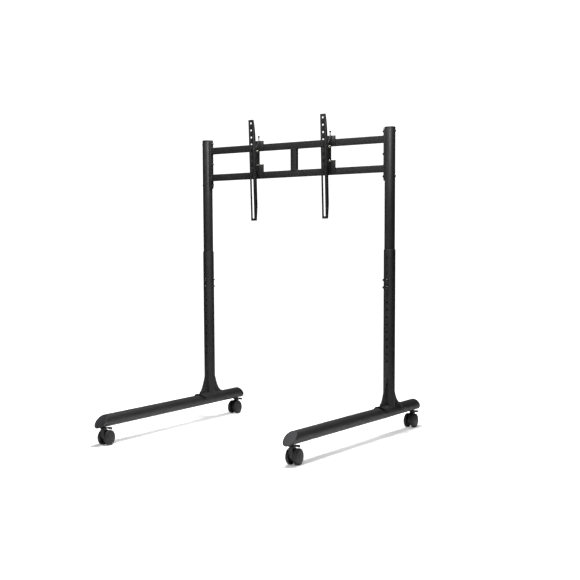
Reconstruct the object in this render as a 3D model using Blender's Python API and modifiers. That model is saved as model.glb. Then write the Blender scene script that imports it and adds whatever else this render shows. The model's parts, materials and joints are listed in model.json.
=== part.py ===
"""Height-adjustable monitor stand on casters, in metres with +Z up.

The screen side faces -Y. The origin is on the floor, under the middle of the stand's length.
Each leg is a round foot tube on two twin-wheel casters, with a post clamped on by a saddle. The upper
posts slide in the lower ones and carry a crossbar frame, on which two screen arms hang by hooks.
"""
import math

import bmesh
import bpy
from mathutils import Matrix, Vector
from mathutils.geometry import interpolate_bezier

# Posts. Every place below counts Y from the posts, and the whole stand moves to its own origin at the end.
POSTS_FROM_ORIGIN = 0.28408
POST_X = 0.462
LOWER_POST_RADIUS = 0.025
LOWER_POST_BORE = 0.0229
LOWER_POST_BOTTOM = 0.1100
LOWER_POST_TOP = 0.7925
UPPER_POST_RADIUS = 0.0225
UPPER_POST_BORE = 0.0205
UPPER_POST_BOTTOM = 0.600
UPPER_POST_TOP = 1.2985
TOP_CAP_HEIGHT = 0.0068
TOP_CAP_PLUG = 0.007

# Height holes, up the front and the inner side of each lower post
HOLE_PITCH = 0.0315
LOWEST_HOLE = 0.3165
HOLE_COUNT = 15
HOLE_RADIUS = 0.0043
BOLTED_HOLES = (10, 11)

# Feet
FOOT_Z = 0.1015
FOOT_RADIUS = 0.0255
FOOT_BORE = 0.0230
FOOT_TOE_IN = math.radians(1.5)
FOOT_FRONT = -0.8263
FOOT_REAR = 0.2644
FRONT_SLANT = 1.08
REAR_SLANT = -0.68
END_PLATE = 0.004
END_PLUG = 0.012

# Saddles that hold the posts on the feet
SADDLE_RADIUS = 0.0295
SADDLE_FRONT = -0.077
SADDLE_REAR = 0.063
SADDLE_SLANT = 1.15
SADDLE_SKIRT = 0.002
GUSSET_THICKNESS = 0.006
GUSSET_TOE = (0.086, 0.138)
GUSSET_TOE_HANDLE = (0.063, 0.146)
GUSSET_TIP_HANDLE = (0.050, 0.188)
GUSSET_TIP = (0.027, 0.247)

# Casters
STEM_Y = {"front": -0.8115, "rear": 0.2415}
TRAIL = {"front": 0.0165, "rear": -0.0135}
WHEEL_RADIUS = 0.0315
WHEEL_INNER_FACE = 0.0098
WHEEL_WIDTH = 0.0163
NECK_RADIUS = 0.011
NECK_BOTTOM = 0.0655
NECK_TOP = 0.0756
STEM_RADIUS = 0.005
STEM_TOP = 0.093
HOUSING_THICKNESS = 0.0170
AXLE_RADIUS = 0.003
LEVER_Z = 0.0710
LEVER_THICKNESS = 0.0034
LEVER_SLOPE = math.radians(4)
LEVER_RING = 0.0150
LEVER_ROOT = 0.0060
LEVER_TIP = 0.0105
LEVER_REACH = 0.045
PEDAL_START = 0.021
PEDAL_THICKNESS = 0.0046
LEVER_PIN_RADIUS = 0.0010

# Crossbar frame
BAR_HEIGHT = 0.030
BAR_DEPTH = 0.020
BAR_WALL = 0.0016
UPPER_BAR_Z = 1.2550
LOWER_BAR_Z = 1.1325
STRUT_WIDTH = 0.030
STRUT_X = 0.001
END_SADDLE_INNER = 0.0228
END_SADDLE_OUTER = 0.0278
END_SADDLE_BOTTOM = 1.082
END_SADDLE_TOP = 1.305
END_SADDLE_HALF_WIDTH = 0.0135
SADDLE_NEAR_SIDE = 0.009
SADDLE_BOLT_ZS = (1.1000, 1.19375, 1.2875)

# Screen arms and their hooks
LEFT_ARM_X = -0.1876
RIGHT_ARM_X = 0.1738
ARM_WIDTH = 0.0264
ARM_LENGTH = 0.4462
ARM_SHEET = 0.002
ARM_TILT = math.radians(2.35)
ARM_HOLE_RADIUS = 0.00425
ARM_HOLE_PITCH = 0.031
ARM_FIRST_HOLE = 0.0153
ARM_HOLE_COUNT = 7
ARM_SLOT_ENDS = (0.2348, 0.4363)
ARM_SLOT_RADIUS = 0.0042
PIVOT_Y = -0.0315
PIVOT_Z = 1.2355
ARM_FACE_AHEAD = 0.0228
ARM_ABOVE_PIVOT = 0.1393
ARM_LUG_BACK = 0.0115
ARM_LUG_TOP = 0.014
FLANGE_STATIONS = (0.003, 0.031, 0.066, 0.111, 0.382, 0.4432)
NEAR_FLANGE = (0.0045, 0.0115, 0.0155, 0.0175, 0.0175, 0.0090)
FAR_FLANGE = (0.0045, 0.0085, 0.0095, 0.0095, 0.0095, 0.0075)
LOCK_BELOW_PIVOT = 0.061
LOCK_SWING = math.radians(4.95)
LOCK_SLOT = (0.0056, 0.0036)
BOLT_HOLE = 0.0034
BOLT_SHANK = 0.0030
TILT_HEAD = 0.0065
HOOK_SHEET = 0.003
EAR_INNER = 0.0136
EAR_OUTLINE = ((-0.0104, 1.2858), (-0.0160, 1.2858), (-0.0415, 1.2520), (-0.0415, 1.1540), (-0.0280, 1.1380),
               (-0.0104, 1.1198))
BAR_CLEARANCE = 0.0004
HOOK_BACK_DROP = 0.036
HOOK_LEFT = -0.0095
HOOK_RIGHT = 0.0375
HOOK_TOP_RIGHT = 0.0215
HOOK_TOP = 1.2858
LOWER_LIP_TOP = 1.1800
LEVEL_SCREW_X = 0.0054
LEVEL_SCREW_TOP = 1.3075
LEVEL_SCREW_HEAD = (0.0044, 0.0060)
LEVEL_SCREW_SHANK = 0.0025

GAP = 0.0003
OVERLAP = 0.0005

for old in list(bpy.data.objects):
    bpy.data.objects.remove(old, do_unlink=True)

parts = bpy.data.collections.new("monitor_stand")
cutters = bpy.data.collections.new("cutters")
for made in (parts, cutters):
    bpy.context.scene.collection.children.link(made)

ALONG_X = Matrix.Rotation(math.pi / 2, 4, "Y")
ALONG_Y = Matrix.Rotation(-math.pi / 2, 4, "X")


def material(name, colour, roughness, metallic):
    made = bpy.data.materials.new(name)
    made.use_nodes = True
    shader = made.node_tree.nodes["Principled BSDF"]
    shader.inputs["Base Color"].default_value = (*colour, 1.0)
    shader.inputs["Roughness"].default_value = roughness
    shader.inputs["Metallic"].default_value = metallic
    return made


POWDER = material("black_powder_coat", (0.022, 0.022, 0.024), 0.48, 0.0)
DARK_PLASTIC = material("black_plastic", (0.012, 0.012, 0.013), 0.42, 0.0)
TREAD = material("caster_plastic", (0.030, 0.029, 0.031), 0.55, 0.0)
BLACK_BOLT = material("black_bolt", (0.05, 0.05, 0.055), 0.30, 0.8)
ZINC = material("zinc_screw", (0.62, 0.60, 0.55), 0.32, 1.0)


def add(name, mesh, finish, matrix=Matrix.Identity(4), parent=None):
    """Link a mesh as a part, or as a hidden cutter where it has no finish."""
    obj = bpy.data.objects.new(name, mesh)
    if finish is None:
        cutters.objects.link(obj)
        obj.display_type = "WIRE"
        obj.hide_render = True
    else:
        parts.objects.link(obj)
        mesh.materials.append(finish)
        for face in mesh.polygons:
            face.use_smooth = True
    obj.parent = parent
    obj.matrix_basis = matrix
    return obj


def mesh_of(obj):
    """The evaluated mesh of an object, in its own coordinates, with its loose seams welded."""
    bpy.context.view_layer.update()
    evaluated = obj.evaluated_get(bpy.context.evaluated_depsgraph_get())
    mesh = bpy.data.meshes.new_from_object(evaluated)
    work = bmesh.new()
    work.from_mesh(mesh)
    bmesh.ops.remove_doubles(work, verts=work.verts, dist=1e-6)
    bmesh.ops.recalc_face_normals(work, faces=work.faces)
    work.to_mesh(mesh)
    work.free()
    return mesh


def cylinder_mesh(name, radius, depth, segments=24):
    """A capped cylinder about Z, centred on its origin."""
    work = bmesh.new()
    bmesh.ops.create_cone(work, cap_ends=True, segments=segments, radius1=radius, radius2=radius, depth=depth)
    mesh = bpy.data.meshes.new(name)
    work.to_mesh(mesh)
    work.free()
    return mesh


def box_mesh(name, size):
    """A box centred on its origin."""
    work = bmesh.new()
    bmesh.ops.create_cube(work, size=1.0, matrix=Matrix.Diagonal((*size, 1.0)))
    mesh = bpy.data.meshes.new(name)
    work.to_mesh(mesh)
    work.free()
    return mesh


def turned_mesh(name, profile, segments):
    """A profile of (radius, height) pairs, from the top down its outer side, turned about Z."""
    mesh = bpy.data.meshes.new(name)
    mesh.from_pydata([(radius, 0, height) for radius, height in profile],
                     [(i, i + 1) for i in range(len(profile) - 1)], [])
    obj = bpy.data.objects.new(name, mesh)
    cutters.objects.link(obj)
    screw = obj.modifiers.new("Turn", "SCREW")
    screw.steps = screw.render_steps = segments
    screw.use_merge_vertices = True
    screw.merge_threshold = 1e-5
    made = mesh_of(obj)
    bpy.data.objects.remove(obj)
    return made


def plate_mesh(name, outlines, thickness):
    """Flat outlines in the XY plane, the first one's holes after it, extruded both ways along Z."""
    curve = bpy.data.curves.new(name, "CURVE")
    curve.dimensions = "2D"
    curve.fill_mode = "BOTH"
    curve.extrude = thickness / 2
    for outline in outlines:
        spline = curve.splines.new("POLY")
        spline.points.add(len(outline) - 1)
        for point, (x, y) in zip(spline.points, outline):
            point.co = (x, y, 0, 1)
        spline.use_cyclic_u = True
    obj = bpy.data.objects.new(name, curve)
    cutters.objects.link(obj)
    made = mesh_of(obj)
    bpy.data.objects.remove(obj)
    return made


def arc(centre, radius, start, end, steps):
    """Points on an arc, from one angle to another in degrees."""
    angles = (math.radians(start + (end - start) * i / steps) for i in range(steps + 1))
    return [(centre[0] + radius * math.cos(a), centre[1] + radius * math.sin(a)) for a in angles]


def circle(centre, radius, steps=12):
    return arc(centre, radius, 0, 360, steps)[:-1]


def stadium(centre, half_length, radius, angle=90.0, steps=6):
    """A slot's outline: round ends of one radius, its middle line at an angle in degrees."""
    step = Vector((math.cos(math.radians(angle)), math.sin(math.radians(angle)))) * half_length
    far = Vector(centre) + step
    near = Vector(centre) - step
    return arc(far, radius, angle - 90, angle + 90, steps) + arc(near, radius, angle + 90, angle + 270, steps)


def boolean(obj, tool, operation="DIFFERENCE"):
    modifier = obj.modifiers.new(operation.title(), "BOOLEAN")
    modifier.operation = operation
    modifier.object = tool
    return obj


def in_yz_plane(x=0.0):
    """Takes a plate's own X to the world's Y, its Y to the world's Z, and its thickness to X."""
    return Matrix(((0, 0, 1, x), (1, 0, 0, 0), (0, 1, 0, 0), (0, 0, 0, 1)))


def bolt(name, finish, matrix, head_radius, head_height, shank_radius, length, parent=None, nut=None):
    """A round-headed bolt, its shank along -Z. A nut is (distance, radius, height) under the head."""
    profile = [(0, head_height), (head_radius * 0.55, head_height), (head_radius, head_height * 0.45),
               (head_radius, 0), (shank_radius, 0)]
    if nut:
        distance, radius, height = nut
        profile += [(shank_radius, -distance), (radius, -distance), (radius, -distance - height),
                    (shank_radius, -distance - height)]
    profile += [(shank_radius, -length), (0, -length)]
    return add(name, turned_mesh(name, profile, 12), finish, matrix, parent)


def foot_frame(side):
    """An empty on the foot's axis under the post, turned by the toe-in, with its own -Y along the foot."""
    frame = bpy.data.objects.new(f"{side}_foot_frame", None)
    parts.objects.link(frame)
    frame.location = (SIGN[side] * POST_X, 0, FOOT_Z)
    frame.rotation_euler.z = -SIGN[side] * FOOT_TOE_IN
    return frame


def slant_ends(mesh, front, front_slope, rear, rear_slope):
    """Move a Y cylinder's two end rings onto slanted planes, y = place + slope * z."""
    for vertex in mesh.vertices:
        place, slope = (front, front_slope) if vertex.co.y < 0 else (rear, rear_slope)
        vertex.co.y = place + slope * vertex.co.z


def y_cylinder_mesh(name, radius, segments=32):
    mesh = cylinder_mesh(name, radius, 1.0, segments)
    mesh.transform(ALONG_Y)
    return mesh


SIGN = {"left": -1, "right": 1}


def build_foot(side, frame):
    mesh = y_cylinder_mesh(f"{side}_foot_tube", FOOT_RADIUS)
    slant_ends(mesh, FOOT_FRONT, FRONT_SLANT, FOOT_REAR, REAR_SLANT)
    foot = add(f"{side}_foot_tube", mesh, POWDER, parent=frame)
    bore = y_cylinder_mesh("bore", FOOT_BORE)
    slant_ends(bore, FOOT_FRONT - 0.1, 0, FOOT_REAR + 0.1, 0)
    boolean(foot, add(f"{side}_foot_bore", bore, None, parent=frame))
    for place, stem_y in STEM_Y.items():
        hole = cylinder_mesh("hole", STEM_RADIUS + 2 * GAP, 0.01, 12)
        boolean(foot, add(f"{side}_{place}_stem_hole", hole, None,
                          Matrix.Translation((0, stem_y, -FOOT_RADIUS)), frame))
    build_end_cap(f"{side}_front_end_cap", frame, FOOT_FRONT, FRONT_SLANT, -1)
    build_end_cap(f"{side}_rear_end_cap", frame, FOOT_REAR, REAR_SLANT, 1)


def build_end_cap(name, frame, place, slope, outward):
    """A flat plate over the slanted end with a plug that fits the bore. The shear slants both."""
    plug_radius = FOOT_BORE - GAP
    profile = [(0, END_PLATE), (FOOT_RADIUS * 0.94, END_PLATE), (FOOT_RADIUS, END_PLATE * 0.6),
               (FOOT_RADIUS, GAP), (plug_radius, GAP), (plug_radius, -END_PLUG), (0, -END_PLUG)]
    mesh = turned_mesh(name, profile, 24)
    mesh.transform(ALONG_Y if outward > 0 else Matrix.Rotation(math.pi / 2, 4, "X"))
    shear = Matrix.Identity(4)
    shear[1][2] = slope
    mesh.transform(shear)
    add(name, mesh, DARK_PLASTIC, Matrix.Translation((0, place, 0)), frame)


def build_foot_saddle(side, frame):
    """A strap over the foot, on which the post stands, with a flared gusset before and behind the post."""
    mesh = y_cylinder_mesh(f"{side}_foot_saddle", SADDLE_RADIUS)
    slant_ends(mesh, SADDLE_FRONT, -SADDLE_SLANT, SADDLE_REAR, SADDLE_SLANT)
    saddle = add(f"{side}_foot_saddle", mesh, POWDER, parent=frame)
    curve = [Vector(point) for point in (GUSSET_TOE, GUSSET_TOE_HANDLE, GUSSET_TIP_HANDLE, GUSSET_TIP)]
    flare = [(point.x, point.y) for point in interpolate_bezier(*curve, 9)]
    in_strap = FOOT_Z + (FOOT_RADIUS + SADDLE_RADIUS) / 2
    rear_edge = [(0.018, GUSSET_TIP[1])] + flare[::-1] + [(GUSSET_TOE[0], in_strap)]
    front_edge = [(-y, z) for y, z in reversed(rear_edge)]
    outline = [(y, z - FOOT_Z) for y, z in rear_edge + front_edge]
    plate = plate_mesh("gusset", [outline], GUSSET_THICKNESS)
    gusset = add(f"{side}_gusset", plate, None, in_yz_plane(), frame)
    socket = cylinder_mesh("socket", LOWER_POST_RADIUS + GAP, 0.4, 32)
    boolean(gusset, add(f"{side}_post_socket", socket, None, Matrix.Translation((0, 0, 0.2)), frame))
    boolean(saddle, gusset, "UNION")
    bore = y_cylinder_mesh("bore", FOOT_RADIUS + GAP)
    slant_ends(bore, SADDLE_FRONT - 0.1, 0, SADDLE_REAR + 0.1, 0)
    boolean(saddle, add(f"{side}_saddle_bore", bore, None, parent=frame))
    below = box_mesh("below", (0.1, 0.4, 0.05))
    boolean(saddle, add(f"{side}_saddle_underside", below, None,
                        Matrix.Translation((0, 0, -SADDLE_SKIRT - 0.025)), frame))


def hole_height(index):
    return LOWEST_HOLE + HOLE_PITCH * index


def row_directions(side):
    """The two sides of a post that have height holes, as rotations of a +Z tool onto them."""
    inward = Matrix.Rotation(-SIGN[side] * math.pi / 2, 4, "Y")
    return {"front": Matrix.Rotation(math.pi / 2, 4, "X"), "inner": inward}


def build_lower_post(side, frame):
    height = LOWER_POST_TOP - LOWER_POST_BOTTOM
    middle = Matrix.Translation((SIGN[side] * POST_X, 0, LOWER_POST_BOTTOM + height / 2))
    post = add(f"{side}_lower_post", cylinder_mesh("post", LOWER_POST_RADIUS, height, 32), POWDER, middle)
    bore = cylinder_mesh("bore", LOWER_POST_BORE, height + 0.1, 32)
    boolean(post, add(f"{side}_lower_bore", bore, None, middle))
    work = bmesh.new()
    for turn in row_directions(side).values():
        for index in range(HOLE_COUNT):
            place = Matrix.Translation((SIGN[side] * POST_X, 0, hole_height(index))) @ turn
            place = place @ Matrix.Translation((0, 0, LOWER_POST_RADIUS))
            bmesh.ops.create_cone(work, cap_ends=True, segments=8, radius1=HOLE_RADIUS, radius2=HOLE_RADIUS,
                                  depth=0.012, matrix=place @ Matrix.Rotation(math.pi / 8, 4, "Z"))
    holes = bpy.data.meshes.new("holes")
    work.to_mesh(holes)
    work.free()
    boolean(post, add(f"{side}_height_holes", holes, None))
    cope = y_cylinder_mesh("cope", SADDLE_RADIUS + GAP)
    slant_ends(cope, -0.1, 0, 0.1, 0)
    boolean(post, add(f"{side}_post_cope", cope, None, parent=frame))
    for face, turn in row_directions(side).items():
        for level, index in zip(("lower", "upper"), BOLTED_HOLES):
            place = Matrix.Translation((SIGN[side] * POST_X, 0, hole_height(index))) @ turn
            place = place @ Matrix.Translation((0, 0, LOWER_POST_RADIUS + GAP))
            shank = LOWER_POST_RADIUS - UPPER_POST_RADIUS
            bolt(f"{side}_{face}_{level}_height_bolt", BLACK_BOLT, place, 0.0062, 0.0065,
                 HOLE_RADIUS - 2 * GAP, shank)


def build_caster(side, place, frame):
    """A twin-wheel caster about an empty on its swivel axis at floor level."""
    swivel = bpy.data.objects.new(f"{side}_{place}_swivel", None)
    parts.objects.link(swivel)
    swivel.parent = frame
    swivel.matrix_basis = Matrix.Translation((0, STEM_Y[place], -FOOT_Z))
    build_caster_housing(f"{side}_{place}_caster", swivel, TRAIL[place])
    profile = [(0, WHEEL_WIDTH), (0.013, WHEEL_WIDTH - 0.0002), (0.024, WHEEL_WIDTH - 0.0012),
               (0.0288, WHEEL_WIDTH - 0.0027), (WHEEL_RADIUS, WHEEL_WIDTH - 0.0052),
               (WHEEL_RADIUS, 0.0025), (0.0300, 0.0003), (0.024, 0), (AXLE_RADIUS + GAP, 0),
               (AXLE_RADIUS + GAP, WHEEL_WIDTH - 0.003), (0, WHEEL_WIDTH - 0.003)]
    for toward, wheel_side in ((SIGN[side], "outer"), (-SIGN[side], "inner")):
        name = f"{side}_{place}_{wheel_side}_wheel"
        matrix = Matrix.Translation((toward * WHEEL_INNER_FACE, TRAIL[place], WHEEL_RADIUS))
        matrix = matrix @ Matrix.Rotation(toward * math.pi / 2, 4, "Y")
        add(name, turned_mesh(name, profile, 20), TREAD, matrix, swivel)
    build_brake_lever(f"{side}_{place}_brake_lever", swivel)


def build_caster_housing(name, swivel, trail):
    """The plastic body between the two wheels, in one with its neck, steel stem, axle and lever pin."""
    axle_place = (abs(trail), WHEEL_RADIUS)
    outline = [(NECK_RADIUS, 0.0665), (-NECK_RADIUS, 0.0665), (-NECK_RADIUS, 0.036)]
    outline += arc(axle_place, 0.022, 205, 400, 14)
    outline.append((abs(trail) + 0.003, 0.062))
    if trail < 0:
        outline = [(-y, z) for y, z in reversed(outline)]
        axle_place = (trail, WHEEL_RADIUS)
    body = add(f"{name}_housing", plate_mesh("body", [outline], HOUSING_THICKNESS), DARK_PLASTIC,
               in_yz_plane(), swivel)
    neck_profile = [(0, STEM_TOP), (STEM_RADIUS, STEM_TOP), (STEM_RADIUS, NECK_TOP), (NECK_RADIUS, NECK_TOP),
                    (NECK_RADIUS, NECK_BOTTOM), (0, NECK_BOTTOM)]
    neck = add(f"{name}_neck", turned_mesh("neck", neck_profile, 16), None, parent=swivel)
    boolean(body, neck, "UNION")
    axle_length = 2 * (WHEEL_INNER_FACE + WHEEL_WIDTH - 0.0035)
    axle = add(f"{name}_axle", cylinder_mesh("axle", AXLE_RADIUS, axle_length, 12), None,
               Matrix.Translation((0, *axle_place)) @ ALONG_X, swivel)
    boolean(body, axle, "UNION")
    pin = add(f"{name}_lever_pin", cylinder_mesh("pin", LEVER_PIN_RADIUS, 0.028, 8), None,
              Matrix.Translation((0, 0, LEVER_Z)) @ ALONG_X, swivel)
    boolean(body, pin, "UNION")


def build_brake_lever(name, swivel):
    """A ring round the neck with a thicker pedal to the rear, its end hooked down over its full width."""
    root = math.degrees(math.asin(LEVER_ROOT / LEVER_RING))
    outline = [(LEVER_TIP, 0.026), (LEVER_TIP, LEVER_REACH - 0.003), (LEVER_TIP - 0.003, LEVER_REACH)]
    outline += [(-y, z) for y, z in reversed(outline)]
    outline += arc((0, 0), LEVER_RING, 90 + root, 450 - root, 16)
    pivot = Matrix.Translation((0, 0, LEVER_Z)) @ Matrix.Rotation(-LEVER_SLOPE, 4, "X")
    plate = plate_mesh("lever", [outline, circle((0, 0), NECK_RADIUS + 0.001, 16)], LEVER_THICKNESS)
    lever = add(name, plate, DARK_PLASTIC, pivot, swivel)
    pedal_end = LEVER_REACH - 0.0033
    pedal = box_mesh("pedal", (2 * LEVER_TIP - 0.001, pedal_end - PEDAL_START, PEDAL_THICKNESS))
    boolean(lever, add(f"{name}_pedal", pedal, None,
                       pivot @ Matrix.Translation((0, (PEDAL_START + pedal_end) / 2, 0)), swivel), "UNION")
    lip = add(f"{name}_lip", box_mesh("lip", (2 * LEVER_TIP - 0.002, 0.0024, 0.0085)), None,
              pivot @ Matrix.Translation((0, LEVER_REACH - 0.0015, -0.00325)), swivel)
    boolean(lever, lip, "UNION")
    pin_hole = add(f"{name}_pin_hole", cylinder_mesh("pin_hole", LEVER_PIN_RADIUS + GAP, 0.0284, 8), None,
                   Matrix.Translation((0, 0, LEVER_Z)) @ ALONG_X, swivel)
    boolean(lever, pin_hole)


def build_upper_post(side):
    x = SIGN[side] * POST_X
    height = UPPER_POST_TOP - UPPER_POST_BOTTOM
    middle = Matrix.Translation((x, 0, UPPER_POST_BOTTOM + height / 2))
    post = add(f"{side}_upper_post", cylinder_mesh("post", UPPER_POST_RADIUS, height, 32), POWDER, middle)
    bore = cylinder_mesh("bore", UPPER_POST_BORE, height + 0.1, 32)
    boolean(post, add(f"{side}_upper_bore", bore, None, middle))
    for z in SADDLE_BOLT_ZS:
        hole = cylinder_mesh("hole", BOLT_HOLE, 0.08, 8)
        boolean(post, add(f"{side}_saddle_bolt_hole_{z:.2f}", hole, None,
                          Matrix.Translation((x, 0, z)) @ ALONG_X))
    plug = UPPER_POST_BORE - GAP
    profile = [(0, TOP_CAP_HEIGHT), (UPPER_POST_RADIUS - 0.003, TOP_CAP_HEIGHT),
               (UPPER_POST_RADIUS, TOP_CAP_HEIGHT - 0.0025), (UPPER_POST_RADIUS, GAP), (plug, GAP),
               (plug, -TOP_CAP_PLUG), (0, -TOP_CAP_PLUG)]
    add(f"{side}_top_cap", turned_mesh("cap", profile, 24), DARK_PLASTIC,
        Matrix.Translation((x, 0, UPPER_POST_TOP)))


def build_end_saddle(side):
    """A curved plate on the inner side of the upper post, with round ends, and its three bolts."""
    x = SIGN[side] * POST_X
    inward = -SIGN[side]
    height = END_SADDLE_TOP - END_SADDLE_BOTTOM
    middle_z = (END_SADDLE_TOP + END_SADDLE_BOTTOM) / 2
    blank = cylinder_mesh("blank", END_SADDLE_OUTER, height + 0.02, 40)
    saddle = add(f"{side}_end_saddle", blank, POWDER, Matrix.Translation((x, 0, middle_z)))
    outline = stadium((0, 0), height / 2 - END_SADDLE_HALF_WIDTH, END_SADDLE_HALF_WIDTH, steps=8)
    keep = plate_mesh("keep", [outline], 0.03)
    keep_x = x + inward * (SADDLE_NEAR_SIDE + 0.015)
    boolean(saddle, add(f"{side}_saddle_outline", keep, None,
                        Matrix.Translation((0, 0, middle_z)) @ in_yz_plane(keep_x)), "INTERSECT")
    bore = cylinder_mesh("bore", END_SADDLE_INNER, height + 0.1, 40)
    boolean(saddle, add(f"{side}_end_saddle_bore", bore, None, Matrix.Translation((x, 0, middle_z))))
    for level, z in zip(("lower", "middle", "upper"), SADDLE_BOLT_ZS):
        hole = cylinder_mesh("hole", BOLT_HOLE, 0.03, 8)
        boolean(saddle, add(f"{side}_{level}_saddle_hole", hole, None,
                            Matrix.Translation((x + inward * 0.025, 0, z)) @ ALONG_X))
        head = Matrix.Translation((x + inward * (END_SADDLE_OUTER + GAP), 0, z))
        head = head @ Matrix.Rotation(inward * math.pi / 2, 4, "Y")
        through = level != "middle"
        nut_face = END_SADDLE_OUTER + UPPER_POST_RADIUS + 3 * GAP
        length = nut_face + 0.0032 if through else 0.014
        nut = (nut_face, 0.0055, 0.0025) if through else None
        bolt(f"{side}_{level}_saddle_bolt", BLACK_BOLT, head, 0.0058, 0.0056, BOLT_SHANK, length, nut=nut)


def build_bar(name, z):
    """A rectangular tube between the posts. Its ends are cut to the end saddles' curve."""
    length = 2 * POST_X
    bar = add(name, box_mesh(name, (length, BAR_DEPTH, BAR_HEIGHT)), POWDER, Matrix.Translation((0, 0, z)))
    bevel = bar.modifiers.new("Bevel", "BEVEL")
    bevel.width = 0.0025
    bevel.segments = 2
    bevel.limit_method = "NONE"
    bevel.affect = "EDGES"
    bore_size = (length + 0.1, BAR_DEPTH - 2 * BAR_WALL, BAR_HEIGHT - 2 * BAR_WALL)
    boolean(bar, add(f"{name}_bore", box_mesh("bore", bore_size), None, Matrix.Translation((0, 0, z))))
    for side, sign in SIGN.items():
        round_end = cylinder_mesh("round_end", END_SADDLE_OUTER + GAP, 0.1, 40)
        boolean(bar, add(f"{name}_{side}_end", round_end, None, Matrix.Translation((sign * POST_X, 0, z))))


def build_crossbars():
    build_bar("upper_crossbar", UPPER_BAR_Z)
    build_bar("lower_crossbar", LOWER_BAR_Z)
    height = UPPER_BAR_Z - LOWER_BAR_Z - BAR_HEIGHT - 2 * GAP
    middle = Matrix.Translation((STRUT_X, 0, (UPPER_BAR_Z + LOWER_BAR_Z) / 2))
    strut = add("centre_strut", box_mesh("strut", (STRUT_WIDTH, BAR_DEPTH, height)), POWDER, middle)
    bore_size = (STRUT_WIDTH - 2 * BAR_WALL, BAR_DEPTH - 2 * BAR_WALL, height + 0.1)
    boolean(strut, add("strut_bore", box_mesh("bore", bore_size), None, middle))


def arm_frame(side, x):
    """An empty on the arm's tilt axis, tipped by the tilt that the stand is built with."""
    frame = bpy.data.objects.new(f"{side}_arm_pivot", None)
    parts.objects.link(frame)
    frame.location = (x, PIVOT_Y, PIVOT_Z)
    frame.rotation_euler.x = ARM_TILT
    return frame


def build_arm(side, x):
    """A shallow channel: a face with screen holes and a slot, and two flanges that taper at both ends."""
    frame = arm_frame(side, x)
    top = ARM_ABOVE_PIVOT
    bottom = top - ARM_LENGTH
    half = ARM_WIDTH / 2
    corner = 0.003
    face = []
    for cx, cy, start in ((half, top, 0), (-half, top, 90), (-half, bottom, 180), (half, bottom, 270)):
        centre = (math.copysign(half - corner, cx), top - corner if cy == top else bottom + corner)
        face += arc(centre, corner, start, start + 90, 2)
    heights = [top - ARM_FIRST_HOLE - ARM_HOLE_PITCH * i for i in range(ARM_HOLE_COUNT)]
    holes = [circle((0, height), ARM_HOLE_RADIUS) for height in heights]
    slot_top, slot_bottom = (top - s for s in ARM_SLOT_ENDS)
    half_slot = (slot_top - slot_bottom) / 2 - ARM_SLOT_RADIUS
    slot = stadium((0, (slot_top + slot_bottom) / 2), half_slot, ARM_SLOT_RADIUS)
    front = -ARM_FACE_AHEAD
    to_face = Matrix(((1, 0, 0, 0), (0, 0, 1, front + ARM_SHEET / 2), (0, 1, 0, 0), (0, 0, 0, 1)))
    arm = add(f"{side}_arm", plate_mesh("face", [face, *holes, slot], ARM_SHEET), POWDER, to_face, frame)
    start = (front + ARM_SHEET / 2, top - corner)
    end = (front + ARM_SHEET / 2, bottom + corner)
    lug_bottom = -LOCK_BELOW_PIVOT - 0.008
    bores = [circle((0, 0), BOLT_HOLE), circle((0, -LOCK_BELOW_PIVOT), BOLT_HOLE)]
    for name, depths, cuts, at in (("far", FAR_FLANGE, [], -1), ("near", NEAR_FLANGE, bores, 1)):
        plain = [(front + depth, top - along) for along, depth in zip(FLANGE_STATIONS, depths)]
        lug = [(front + depths[3], ARM_LUG_TOP + 0.012), (ARM_LUG_BACK, ARM_LUG_TOP),
               (ARM_LUG_BACK, lug_bottom), (front + depths[3], lug_bottom - 0.010)]
        outlines = [[start, *plain[:4], *lug, *plain[4:], end], *cuts]
        flange = plate_mesh("flange", outlines, ARM_SHEET)
        # A flange stands a hair inside the face's edge, so no two faces of the union lie in one plane.
        flange_x = at * (half - ARM_SHEET / 2 - 5e-6)
        boolean(arm, add(f"{side}_arm_{name}_flange", flange, None, in_yz_plane(flange_x), frame), "UNION")
    tilt_bolt(f"{side}_tilt_lock_bolt", Matrix.Translation((0, 0, -LOCK_BELOW_PIVOT)), frame)
    tilt_bolt(f"{side}_pivot_bolt", Matrix.Identity(4), frame)


def tilt_bolt(name, place, frame):
    """A bolt along X through the hook's ear and the arm's near flange, with its nut inside the arm."""
    under_head = EAR_INNER + HOOK_SHEET + GAP
    nut_face = under_head - ARM_WIDTH / 2 + ARM_SHEET + GAP
    bolt(name, ZINC, place @ Matrix.Translation((under_head, 0, 0)) @ ALONG_X, 0.0055, TILT_HEAD, BOLT_SHANK,
         nut_face + 0.0055, frame, (nut_face, 0.0052, 0.0040))


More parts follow.
